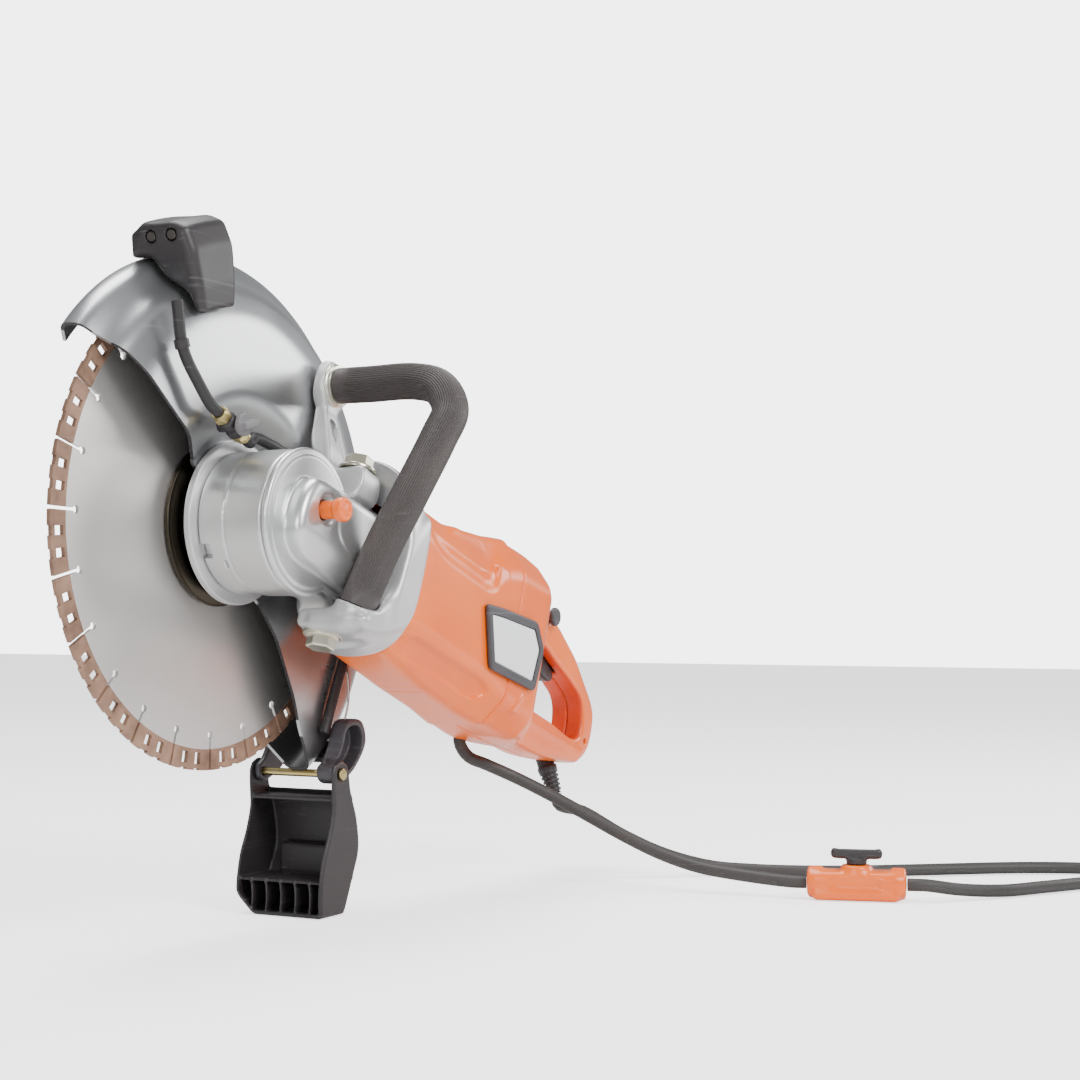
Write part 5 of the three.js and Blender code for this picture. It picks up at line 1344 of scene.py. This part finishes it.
@dataclass
class Flap:
    """The hollow spray flap: two side walls, a back with a step, a cross-member and a ribbed sole."""

    y0: float = -32.0
    y1: float = 45.0
    wall: float = 3.0
    sole: float = -103.97

    def build(self) -> None:
        """Draws the flap as side walls joined by its back, sole, ribs and cross-member."""
        s = self.sole
        front = smooth_line(np.array([(11, 2), (11, -10), (10, -24), (15, -42), (23, -60), (27, -78),
            (28, s + 10), (27, s)]), 2)
        back = smooth_line(np.array([(-7, s + 4), (-17, s + 26), (-25, s + 46), (-22, -34), (-14, -14),
            (-11, 2)]), 2)
        head = smooth_line(np.array([(-8, 7.5), (0, 10.5), (8, 7.5)]), 2)
        outline = np.vstack([front, [(-4, s)], back, head])
        grid = Solid((-42, self.y0 - 3, s - 3), (35, self.y1 + 3, 14), 0.8)
        hull = grid.slab(outline, self.y0, self.y1, 3)
        corner = (s + 14 - grid.z) * 0.7 + (self.y0 + 9 - grid.y) * 0.7 - 6
        hull = blend_max(hull, corner, 4)
        inner = outline + np.array([3.2, 3.0])
        room = grid.slab(inner, self.y0 + self.wall, self.y1 - self.wall, 2)
        room = blend_max(room, corner + self.wall, 1)
        over = grid.box((-60, self.y0 + self.wall, -13), (60, self.y1 - self.wall, 30), 2)
        shape = blend_max(blend_max(hull, -room, 1.2), -over, 1.2)
        bow = 2.0 * np.sin((grid.z - s) / 26 * math.pi)
        for k in range(1, 6):
            y = self.y0 + (self.y1 - self.y0) * k / 6 + bow
            rib = blend_max(np.abs(grid.y - y) - 0.8, np.abs(grid.z - (s + 13)) - 13, 0.8)
            rib = blend_max(rib, blend_max(hull + 1.5, 21 - 40 - grid.x, 1), 1)
            shape = blend_min(shape, rib, 1)
        shelf = grid.box((-33, self.y0 + 1, s + 24.5), (25, self.y1 - 1, s + 26.5), 1)
        bar = grid.box((-20, self.y0 + 1, -20), (9, self.y1 - 1, -16.5), 1.5)
        step = grid.box((-33, self.y0 + 14, s + 26), (-9, self.y1 - 12, s + 50), 4)
        gusset = grid.capsule((-18, self.y1 - 9, s + 52), (8, self.y1 - 5, s + 26), 1.6)
        for part in (shelf, bar, step, gusset):
            shape = blend_min(shape, blend_max(part, hull, 0.5), 1.5)
        shape = blend_max(shape, -grid.bar_y(0, 0, 3.4, -80, 80, 0.5), 0.5)
        dent = grid.bar_y(0, 0, 6.5, self.y1 - 0.9, self.y1 + 5, 0.5)
        shape = blend_max(shape, -dent, 0.5)

        def place(points: Points) -> Points:
            """Moves the flap from the hinge to its place."""
            return from_stand(np.asarray(points, float) + FLAP_HINGE)

        dress("flap_moulding", grid.skin(shape), BLACK, Body.FLAP, ["spray_flap"], place)


# ---------------------------------------------------------------- gear head and handle castings


@dataclass
class GearHead:
    """The gear housing, its collar and cap, the spindle lock, and the castings that hold the handles."""

    barrel: float = 51.0
    y0: float = 23.0
    y1: float = 77.0
    motor_y: float = 74.0
    neck_back: float = -75.7
    flange_back: float = -99.0
    flange_front: float = -76.0
    wall: float = 4.5
    lock_at: tuple[float, float] = (2.7, 7.5)

    def housing(self) -> None:
        """The barrel with its seam, notch and dark joint line, and the neck that flows back to the flange."""
        grid = Solid((self.neck_back - 2, 20, -54), (54, 80, 54), 1.0)
        reach = np.sqrt(grid.x**2 + grid.z**2)
        step = 0.8 / (1 + np.exp(-(grid.y - 45.5) * 4))
        seam = 0.9 * np.exp(-(((grid.y - 45.0) / 0.9) ** 2))
        barrel = blend_max(reach - (self.barrel - 0.8) - step + seam, np.abs(grid.y - 50) - 27, 3)
        neck = grid.box((self.neck_back, 42, -38), (0, self.y1, 38), 9)
        skirt = grid.box((self.neck_back, 40, -44), (self.neck_back + 7, self.y1, 46), 5)
        shape = blend_min(blend_min(barrel, neck, 14), skirt, 16)
        shape = blend_max(shape, grid.y - self.y1, 2.5)
        shape = blend_max(shape, self.neck_back - grid.x, 1)
        degrees = np.degrees(np.arctan2(grid.z, grid.x))
        notch = blend_max(np.abs(degrees + 45) * 0.89 - 5.2, np.abs(grid.y - 27) - 4, 1)
        notch = blend_max(notch, 44.5 - reach, 1)
        dash = blend_max(np.abs(degrees + 57) * 0.89 - 3.2, np.abs(grid.y - 41) - 0.9, 0.5)
        dash = blend_max(dash, 48 - reach, 0.5)
        room = blend_max(reach - (self.barrel - self.wall), np.abs(grid.y - 66) - 32, 2)
        bore = grid.bar_x(self.motor_y, 0, 16.3, -90, 0)
        spindle = grid.bar_y(0, 0, 14.4, 0, 60)
        for cut, soft in ((notch, 0.8), (dash, 0.5), (room, 1), (bore, 1), (spindle, 1)):
            shape = blend_max(shape, -cut, soft)
        dress("gear_case", grid.skin(shape), SILVER, Body.MACHINE, ["gear_housing"])
        profile = rounded([(16.3, 10.8), (37, 10.8), (37, 17.2), (58, 17.2), (58, 22.7), (16.3, 22.7)], 1.2,
            closed=True)
        dress("neck_collar", lathe(profile, 128), LIGHT_CASTING, Body.MACHINE,
            ["gear_neck_collar"])

    def outline(self, radius: float, half: float, back: float) -> Points:
        """A round front that runs straight back: an arc about the arbor and two lines to the back."""
        start = math.pi - math.asin(min(half / radius, 1))
        angle = np.linspace(-start, start, 40)
        arc = np.stack([radius * np.cos(angle), radius * np.sin(angle)], 1)
        return np.vstack([arc, [(back, half), (back, -half)]])

    def cap(self) -> None:
        """The smooth cap: a plate, a bulge over the gears and back over the shaft, and a curved seam."""
        low = self.y1 + GAP
        grid = Solid((self.neck_back - 2, low - 3, -56), (56, 104, 56), 1.0)
        plate = grid.slab(self.outline(52, 38, self.neck_back), low - 4, low + 4.4, 2.5)
        ring = grid.slab(self.outline(46.5, 36, self.neck_back + 2), low - 8, low + 5.4, 0.8)
        foot = smooth_line(np.array([
            (20, 24), (28, 12), (31, -8), (27, -21), (15, -29), (-12, -31.5), (-47, -33), (-69, -33),
            (-71, -28),
            (-71, 24), (-68, 29), (-40, 30), (-8, 28), (10, 27)]), 2, closed=True)
        bulge = grid.slab(foot, low - 8, 97.5, 8)
        slope = (grid.y - 97.5) * 0.9 + (-grid.z - 17) * 0.44
        bulge = blend_max(bulge, slope, 2.5)
        shape = blend_min(blend_min(plate, ring, 0.8), bulge, 2.5)
        seam_path = smooth_line(np.array([(-12, 8), (-14, 0), (-20, -7), (-34, -12), (-52, -14)]), 3)
        seam = np.full(shape.shape, 1e3, np.float32)
        for a, b in zip(seam_path[:-1], seam_path[1:]):
            seam = np.minimum(seam, grid.capsule((a[0], 96.5, a[1]), (b[0], 96.5, b[1]), 0.1))
        shape = shape + 1.1 * np.exp(-((seam / 1.6) ** 2))
        x, z = self.lock_at
        well = grid.bar_y(x, z, 10.5, 94, 130, 2)
        notch = grid.capsule((x, 100, z), (x - 16, 104, z + 14), 8)
        stem = grid.bar_y(x, z, 6.9, 80, 130, 0.8)
        for cut, soft in ((well, 2.5), (notch, 4), (stem, 1)):
            shape = blend_max(shape, -cut, soft)
        room = grid.slab(self.outline(27, 26, self.neck_back + 16), 60, 91.5, 3)
        shape = blend_max(blend_max(shape, -room, 1), low - grid.y, 0.6)
        dress("gear_cover", grid.skin(shape), SILVER, Body.MACHINE, ["gear_cap"])

    def lock_button(self) -> None:
        """The spindle lock: a long stem and a round orange head with a ring pressed into its end."""
        x, z = self.lock_at
        profile = [(0, 65), (2.6, 65), (2.6, 93), (6.4, 93.5), (6.4, 103), (7.4, 104.5), (8.3, 106),
            (8.5, 108),
                   (8.5, 111.2), (7.6, 112.5), (5.6, 112.5), (5.2, 111.9), (4.4, 111.9), (4.0, 112.5),
                   (0, 112.5)]
        shape = turned_piece(profile, (x, 0, z), (0, 1, 0), 64, 0.5)
        dress("lock_plunger", shape, ORANGE, Body.LOCK, ["spindle_lock_button"])

    def flange(self) -> None:
        """The handle flange: a plate and skirt before the motor, and a shoulder forward under the handle."""
        outline = smooth_line(np.array([
            (34, -44), (44, -58), (62, -66), (98, -62), (114, -46), (118, -10), (116, 34), (104, 62),
            (84, 78),
            (62, 82), (44, 72), (34, 50), (32, 0)]), 2, closed=True)
        front, back = self.flange_front, self.flange_back
        grid = Solid((back - 3, 28, -84), (-28, 122, 86), 1.1)
        shape = grid.plate(outline, back, front, 5)
        side = np.array([(back, 40), (back, -22), (-86, -47), (-58, -62), (-42, -63), (-38, -56), (-52, -46),
            (-70, -26), (-80, 8)])
        shoulder = grid.slab(smooth_line(side, 2, closed=True), 70, 117, 6)
        shape = blend_min(shape, shoulder, 9)
        handle_end, way = np.array([-50.0, 101.0, -44.0]), unit((-3.0, -14.0, -44.0))
        cup = grid.capsule(handle_end + way * 2, handle_end + way * 9, 15.5, 14)
        mouth = ((grid.x - handle_end[0]) * way[0] + (grid.y - handle_end[1]) * way[1]
                 + (grid.z - handle_end[2]) * way[2])
        cup = blend_max(cup, 0.8 - mouth, 1)
        lug = grid.box((front - 4, 58, -62), (-40, 101, -48), 5)
        shape = blend_min(blend_min(shape, cup, 6), lug, 6)
        shape = blend_max(shape,
            -blend_max(grid.box((back - 9, 44, -55), (front - 8, 106, 66), 8), np.abs(grid.z) - 60, 4), 1.5)
        bore = grid.bar_x(self.motor_y, 0, 16.3, back - 9, front + 9)
        cuts = [(bore, 1.5)]
        for a, b in (((72, 49), (88, 38)), ((95, 32), (100.5, 13)), ((98, -8), (93, -30)),
                ((50, 40), (46, 24))):
            slot = grid.capsule((front - 4, *a), (front - 4, *b), 4.3)
            cuts.append((np.minimum(slot, grid.capsule((front + 4, *a), (front + 4, *b), 4.6)), 1.2))
        cuts.append((grid.capsule((front + 3, 97, 44), (front - 4, 97, 44), 4.6), 1))
        handle = grid.capsule((-47.6, 113, -6), handle_end, 14.2)
        cuts.append((blend_max(handle, mouth - 0.3, 0.5), 1))
        cuts.append((grid.box((self.neck_back - 1, 38, -38.5), (0, 78, 38.5), 6), 1))
        cuts.append((grid.slab(self.outline(53.5, 39.5, front), 60, 103, 2), 1))
        for cut, soft in cuts:
            shape = blend_max(shape, -cut, soft)
        dress("handle_casting", grid.skin(shape), LIGHT_CASTING, Body.MACHINE,
            ["handle_flange"])
        screws = [prism(40, 4.2, 0, 3.0, (front - 3.2, 97, 44), (1, 0, 0), 0.7)]
        # Painted shade: a near-black hexagon on the screw head stands in for the shadow in its drive socket.
        socket_shade = prism(6, 1.9, 2.2, 3.2, (front - 3.2, 97, 44), (1, 0, 0), 0.2)
        dress("flange_screw", joined(*screws), DARK_STEEL, Body.MACHINE)
        dress("flange_screw_socket_shade", socket_shade, GUARD_BLACK, Body.MACHINE)

    def arm(self) -> None:
        """The cast arm from the flange's top to the front handle's far end, with a pocket in its web."""
        grid = Solid((-76, 28, 34), (-36, 92, 152), 0.9)
        outline = smooth_line(np.array([
            (39.4, 120), (39.4, 147), (34, 147.5), (31.7, 139), (31.7, 103), (34.5, 84), (44, 66), (52, 40),
            (86, 39), (86, 62), (60, 62.5), (52, 82), (44, 104)]), 1.5, closed=True)
        web = grid.plate(outline, -70, -42, 3.5)
        taper = np.abs(grid.x + 56) - (10 + np.clip((96 - grid.z) / 50, 0, 1) * 5
                                       + np.clip((grid.z - 112) / 12, 0, 1) * 6)
        web = blend_max(web, taper, 4)
        boss = grid.bar_y(-55, 133, 17, 31.7, 39.4, 3)
        shape = blend_min(web, boss, 6)
        pocket = grid.capsule((-56, 46, 70), (-56, 41, 100), 5.5)
        shape = blend_max(shape, -blend_max(pocket, 40 - grid.y, 1), 2)
        shape = blend_max(shape, np.sqrt(grid.x**2 + grid.z**2) * -1 + 53, 1)
        seat = grid.box((-72, 58, 62.2), (-40, 92, 90), 2)
        shape = blend_max(shape, -seat, 1)
        dress("handle_arm", grid.skin(shape), LIGHT_CASTING, Body.MACHINE,
            ["upper_bracket_arm"])

    def bolts(self) -> None:
        """The zinc hexagon bolts over and under the handle's ends, and the pale collar at its far end."""
        for name, at, way, node in (
            ("top_bolt", (-56, 74, 62.3), (0, 0, 1), "upper_bolt"),
            ("under_bolt", (-57, 72, -62.3), (0, 0, -1), "lower_bolt"),
        ):
            washer = turned_piece([(0, 0), (14, 0), (14, 2.5), (0, 2.5)], at, way, 64, 0.7)
            flange = turned_piece([(0, 2), (12.4, 2), (12.2, 3.4), (9, 4.6), (0, 4.6)], at, way, 64, 0.6)
            head = prism(6, 10.6, 3.5, 11.4, at, way, 1.1)
            dress(name, joined(washer, flange, head), ZINC, Body.MACHINE, [node], sharp_deg=25)
        profile = [(0, 39.7), (16.5, 39.7), (16.5, 41.5), (15.2, 42.2), (15.5, 44.7), (0, 44.7)]
        collar = turned_piece(profile, (-55, 0, 133), (0, 1, 0), 80, 0.7)
        dress("grip_collar", collar, ZINC, Body.MACHINE, ["handle_collar"])

    def front_handle(self) -> None:
        """The front handle: a tube swept along its bend, with fine ribs that fade out at both ends.

        Radius = 13.3 + 0.32 cos(48 a) between the cuffs, and 13.5 at them.
        """
        route = np.array([
            (-55, 45, 133), (-55, 70, 133), (-55, 110, 133), (-54, 132, 126), (-53, 145, 107), (-51, 141, 85),
            (-48, 128, 40), (-47, 115, 0), (-50, 101, -44)], float)
        path = smooth_line(route, 2.4)

        def radius(share: Points, turn: Points) -> Points:
            """The ribs' height fades in over the first and last twentieth."""
            fade = np.clip(np.minimum(share, 1 - share) / 0.03 - 0.6, 0, 1)
            return 13.45 - 0.2 * fade + 0.34 * fade * np.cos(48 * turn)

        shape = sweep(path, radius, 288)
        dress("grip_tube", shape, RUBBER, Body.MACHINE, ["front_handle"], sharp_deg=80)

    def build(self) -> None:
        """Makes every piece of the gear head."""
        self.housing()
        self.cap()
        self.lock_button()
        self.flange()
        self.arm()
        self.bolts()
        self.front_handle()


# ---------------------------------------------------------------- motor housing and rear handle


@dataclass
class OrangeBody:
    """The motor housing and the two halves of the rear handle, drawn from one hull."""

    middle: float = 74.0
    half: float = 42.0
    front: float = -99.3
    joint: float = -256.0
    wall: float = 3.0
    step: float = 1.25
    top: tuple = ((-99, 60), (-150, 62), (-179, 66), (-227, 79), (-256, 88), (-288, 90), (-318, 84),
        (-350, 75),
                  (-386, 64), (-420, 51), (-448, 36), (-470, 18))
    bottom: tuple = ((-99, -62), (-168, -68), (-256, -70), (-290, -70), (-338, -66), (-470, -50))
    upper_edge: tuple = ((-99, 33), (-190, 34), (-214, 38), (-232, 50), (-256, 58), (-300, 62), (-340, 64),
        (-386, 52), (-420, 39), (-470, 8))
    lower_edge: tuple = ((-99, -38), (-216, -39), (-257, -46), (-310, -50), (-470, -60))
    width: tuple = ((-99, 42), (-304, 42), (-318, 36), (-336, 20), (-346, 16), (-480, 16))

    def read(self, stations: tuple, x: Points) -> Points:
        """Reads a value between stations of [x, value]."""
        table = np.array(stations[::-1], float)
        return np.interp(x, table[:, 0], table[:, 1]).astype(np.float32)

    def hull(self, grid: Solid) -> Points:
        """Distance to the plain body: softly blended planes for sides, shoulders, top and belly."""
        x = grid.x
        side = np.abs(grid.y - self.middle)
        out = side - self.read(self.width, x)
        over = grid.z - self.read(self.top, x)
        under = self.read(self.bottom, x) - grid.z
        shoulder = out * 0.77 + (grid.z - self.read(self.upper_edge, x)) * 0.64
        belly = out * 0.80 + (self.read(self.lower_edge, x) - grid.z) * 0.60
        shape = blend_max(out, over, 9)
        shape = blend_max(shape, shoulder, 5)
        shape = blend_max(shape, blend_max(under, belly, 5), 4)
        return shape

    def spine(self, grid: Solid) -> Points:
        """Distance to the raised spine that grows out of the body's top towards the rear."""
        side = np.abs(grid.y - self.middle)
        over = grid.z - self.read(self.top, grid.x)
        flank = (side - np.minimum(27, self.read(self.width, grid.x) - 1)) * 0.93 + (grid.z - 60) * 0.36
        nose = (grid.x + 150) * 0.72 + (grid.z - 52) * 0.69
        shape = blend_max(blend_max(over, flank, 6), nose, 8)
        shape = blend_max(shape, 30 - grid.z, 4)
        return blend_max(shape, -322 - grid.x, 14)

    def details(self, grid: Solid, shape: Points) -> Points:
        """Cuts the side's scoop, the long sunk panel with its small triangle, and fine crease lines."""
        side = np.abs(grid.y - self.middle)
        folded = grid.folded(self.middle)
        scoop = np.full(shape.shape, 1e3, np.float32)
        route = smooth_line(np.array([(-108, 120, 47), (-120, 121, 36), (-136, 121.5, 32), (-165, 121.5, 32),
            (-192, 121, 33),
                                      (-206, 121, 34), (-212, 121.5, 42)], float), 8)
        for a, b in zip(route[:-1], route[1:]):
            scoop = np.minimum(scoop, folded.capsule(a, b, 9))
        shape = blend_max(shape, -scoop, 3.5)
        spine_side = folded.capsule((-150, 112, 58), (-205, 112, 66), 11)
        shape = blend_max(shape, -blend_max(spine_side, 96 - folded.y, 1), 5)
        tab = folded.box((-231, 100, 34), (-217, 114.5, 52), 3)
        shape = blend_min(shape, tab, 3)
        panel = rounded([(-113, -43.5), (-222, -43), (-237, -48), (-228, -56), (-112, -57)], 7, 6,
            closed=True)
        sunk = outline_distance(panel, grid.x[:, 0], grid.z[0])[:, None, :]
        share = np.clip(0.5 - sunk / 2.4, 0, 1) * (side > 20)
        shape = shape + 2.6 * share * share * (3 - 2 * share)
        wedge = rounded([(-96, -56), (-109, -44.5), (-109, -57)], 2, 4, closed=True)
        sunk = outline_distance(wedge, grid.x[:, 0], grid.z[0])[:, None, :]
        share = np.clip(0.5 - sunk / 1.8, 0, 1) * (side > 20)
        return shape + 1.2 * share

    def housing(self) -> None:
        """The motor housing: the hull between the flange and the joint, hollow, with its details."""
        s = self.step
        grid = Solid((self.joint - 2.5, self.middle - self.half - 3, -75),
            (self.front + 2.5, self.middle + self.half + 3, 94), s)
        plain = blend_min(self.hull(grid), self.spine(grid), 4)
        shape = self.details(grid, plain)
        belly_vents = np.full(plain.shape, 1e3, np.float32)
        for k in range(5):
            x = -128 - 11 * k
            slot = grid.capsule((x, self.middle - 14, -70), (x, self.middle + 14, -70), 2.4)
            belly_vents = np.minimum(belly_vents, slot)
        shape = blend_max(shape, -belly_vents, 1.2)
        shape = blend_max(shape, -(plain + self.wall + 3.5), 0.8)
        ends = np.abs(grid.x - (self.front + self.joint) / 2) - (self.front - self.joint) / 2
        shape = blend_max(shape, ends, 1.4)
        dress("motor_shell", grid.skin(shape), ORANGE, Body.MACHINE, ["motor_housing"],
            sharp_deg=55)

    def outlines(self) -> tuple[Points, Points]:
        """The rear handle's side outline and the outline of its hand hole."""
        rear = self.joint - GAP
        outer = smooth_line(np.array([
            (rear, 88), (-288, 90), (-318, 84), (-350, 75), (-386, 64), (-420, 51), (-448, 36), (-466, 18),
            (-473, -5), (-470, -27), (-457, -41), (-432, -48), (-391, -57), (-338, -66), (-290, -70),
            (rear, -70)]), 3)
        outer = np.vstack([outer, [(rear + 30, -70), (rear + 30, 88)]])
        hole = smooth_line(np.array([
            (-340, -16), (-345, -23), (-392, -25), (-438, -25.5), (-447, -19), (-445, 2), (-438, 11),
            (-422, 17), (-385, 25), (-352, 32), (-343, 29), (-340, 20), (-340, 2)]), 2, closed=True)
        return outer, hole

    def rear_handle(self) -> None:
        """The rear handle's two halves: the hull, cut to the side outline, with the hand hole through it."""
        outer, hole = self.outlines()
        rear = self.joint - GAP
        for name, node, y0, y1, way in (
            ("rear_grip_left", "rear_handle_left", self.middle + 0.15, self.middle + self.half + 3, 1),
            ("rear_grip_right", "rear_handle_right", self.middle - self.half - 3, self.middle - 0.15, -1),
        ):
            low = y0 - 2.5 if way > 0 else y0
            high = y1 if way > 0 else y1 + 2.5
            grid = Solid((-477, low, -75), (rear + 2.5, high, 95), self.step)
            plain = blend_min(self.hull(grid), self.spine(grid), 4)
            out = outline_distance(outer, grid.x[:, 0], grid.z[0])[:, None, :]
            gap = outline_distance(hole, grid.x[:, 0], grid.z[0])[:, None, :]
            plain = blend_max(plain, out, 9)
            shape = self.details(grid, plain)
            folded = grid.folded(self.middle)
            bar = folded.capsule((-300, 104, -41), (-352, 88, -37), 3.2)
            bar = blend_min(bar, folded.capsule((-352, 88, -37), (-452, 86, -34), 3.2, 2.4), 2)
            floor_bar = blend_max(folded.box((-452, 60, -60), (-300, 89, -33), 4), out + 1.5, 3)
            shape = blend_min(shape, blend_min(bar, floor_bar, 3), 4)
            hook = folded.capsule((-284, 115.5, -36), (-274, 114, -50), 1.6)
            hook = blend_min(hook, folded.capsule((-274, 114, -50), (-300, 111.5, -45), 1.4), 1.5)
            shape = blend_min(shape, hook, 1.5)
            shape = blend_max(shape, -gap, 4.5)
            inside = blend_max(plain + self.wall + 0.5, -gap + self.wall, 1)
            shape = blend_max(shape, -inside, 0.8)
            slot = grid.box((-402, self.middle - 6.4, 12), (-342, self.middle + 6.4, 42), 1)
            shape = blend_max(shape, -slot, 1)
            stem = grid.bar_y(-355, 57, 5.6, self.middle, self.middle + 80, 0.5)
            screws = [grid.bar_y(x, z, 2.6, self.middle + 8, self.middle + 80, 0.5)
                      for x, z in ((-322, 52), (-458, -22), (-330, -52))]
            for cut in (stem, *(screws if way > 0 else ())):
                shape = blend_max(shape, -cut, 0.8)
            plane = self.middle + 0.15 - grid.y if way > 0 else grid.y - self.middle + 0.15
            shape = blend_max(shape, plane, 0.8)
            shape = blend_max(shape, grid.x - rear, 1.4)
            piece = dress(name, grid.skin(shape), ORANGE, Body.MACHINE, [node],
                sharp_deg=55)
            # The hand hole's lining gets a painted shade, a darker orange.
            self.paint_hole_shade(piece, hole)

    def paint_hole_shade(self, piece: bpy.types.Object, hole: Points) -> None:
        """Paints shade on the faces that line the hand hole: a darker orange there stands in for the shadow
        inside it.
        """
        piece.data.materials.append(HOLE_SHADE_ORANGE.build())
        centres = np.empty(len(piece.data.polygons) * 3)
        piece.data.polygons.foreach_get("center", centres)
        local = centres.reshape(-1, 3) / MM - ARBOR
        c, s = math.cos(NOSE_UP), math.sin(NOSE_UP)
        x, z = local[:, 0] * c + local[:, 2] * s, -local[:, 0] * s + local[:, 2] * c
        # Faces within a millimetre of the hole's outline take the painted shade.
        near = np.abs(outline_distance(hole, x, z)) < 1.0
        piece.data.polygons.foreach_set("material_index", near.astype(np.int32))

    def badge(self) -> None:
        """The blank hexagonal badge: a grey frame round a pale plate."""
        corners = [(-198, 12), (-220, -34), (-296, -28), (-301, 9), (-283, 27), (-226, 18)]
        outline = rounded(corners, 5, 6, closed=True)
        face = self.middle + self.half + GAP
        grid = Solid((-304, face - 3, -38), (-194, face + 7, 31), 0.7)
        flat = outline_distance(outline, grid.x[:, 0], grid.z[0])[:, None, :]
        edge = np.maximum(face - grid.y, grid.y - face - 4)
        frame_shape = blend_max(blend_max(flat, edge, 2), -(flat + 7), 1)
        dress("badge_surround", grid.skin(frame_shape), DARK_GREY, Body.MACHINE,
            ["badge_frame"])
        edge = np.maximum(face - grid.y, grid.y - face - 3)
        plate = blend_max(flat + 7.4, edge, 1)
        dress("badge_blank", grid.skin(plate), PLATE, Body.MACHINE, ["badge_plate"])

    def controls(self) -> None:
        """The trigger with its finger curve, and the round lock-off button."""
        outline = smooth_line(np.array([
            (-346, 40), (-347, 30), (-356, 20), (-376, 13), (-394, 12), (-399, 16), (-396, 22), (-376, 30),
            (-360, 42), (-352, 45)]), 1.5, closed=True)
        grid = Solid((-403, 65, 8), (-342, 83, 49), 0.6)
        shape = grid.slab(outline, self.middle - 6, self.middle + 6, 3)
        shape = blend_max(shape, -grid.bar_y(-352, 39, 2.3, 60, 90, 0.4), 0.4)
        dress("trigger_lever", grid.skin(shape), BLACK, Body.TRIGGER, ["trigger"])
        face = self.middle + 16 + 3 + GAP
        profile = [(0, self.middle + 6), (4.9, self.middle + 6), (4.9, face + 0.3), (7.9, face + 0.3),
            (7.9, face + 3.4),
                   (6.8, face + 4.6), (4, face + 4.2), (0, face + 4.0)]
        button = turned_piece(profile, (-355, 0, 57), (0, 1, 0), 64, 0.9)
        dress("lock_off_disc", button, DARK_GREY, Body.LOCK_OFF, ["lock_off_button"])

    def build(self) -> None:
        """Makes the housing, the rear handle, the badge and the controls."""
        self.housing()
        self.rear_handle()
        self.badge()
        self.controls()


def dress_inner_parts() -> None:
    """Gives each CAD node that stays its own finish, by the record's material slot."""
    finishes = {
        "orange_plastic": ORANGE, "cast_silver": SILVER, "blade_steel": STEEL, "dark_steel": DARK_STEEL,
        "black_plastic": BLACK, "grey_plastic": GREY, "handle_rubber": RUBBER, "brass": BRASS,
        "copper": COPPER, "badge_face": PLATE, "zinc_plate": ZINC,
    }
    slots = {row["node"]: row["material_slot"] for row in frame["record"]["subparts"]}
    for name, node in frame["nodes"].items():
        node.data.materials.clear()
        node.data.materials.append(finishes[slots[name]].build())


def main() -> None:
    """Builds the saw."""
    logging.basicConfig(level=logging.INFO)
    studio = Studio()
    studio.place_camera()
    dress_inner_parts()
    Lines().build()
    Blade().build()
    Guard().build()
    Flap().build()
    GearHead().build()
    OrangeBody().build()
    studio.build()


if __name__ == "__main__":
    main()
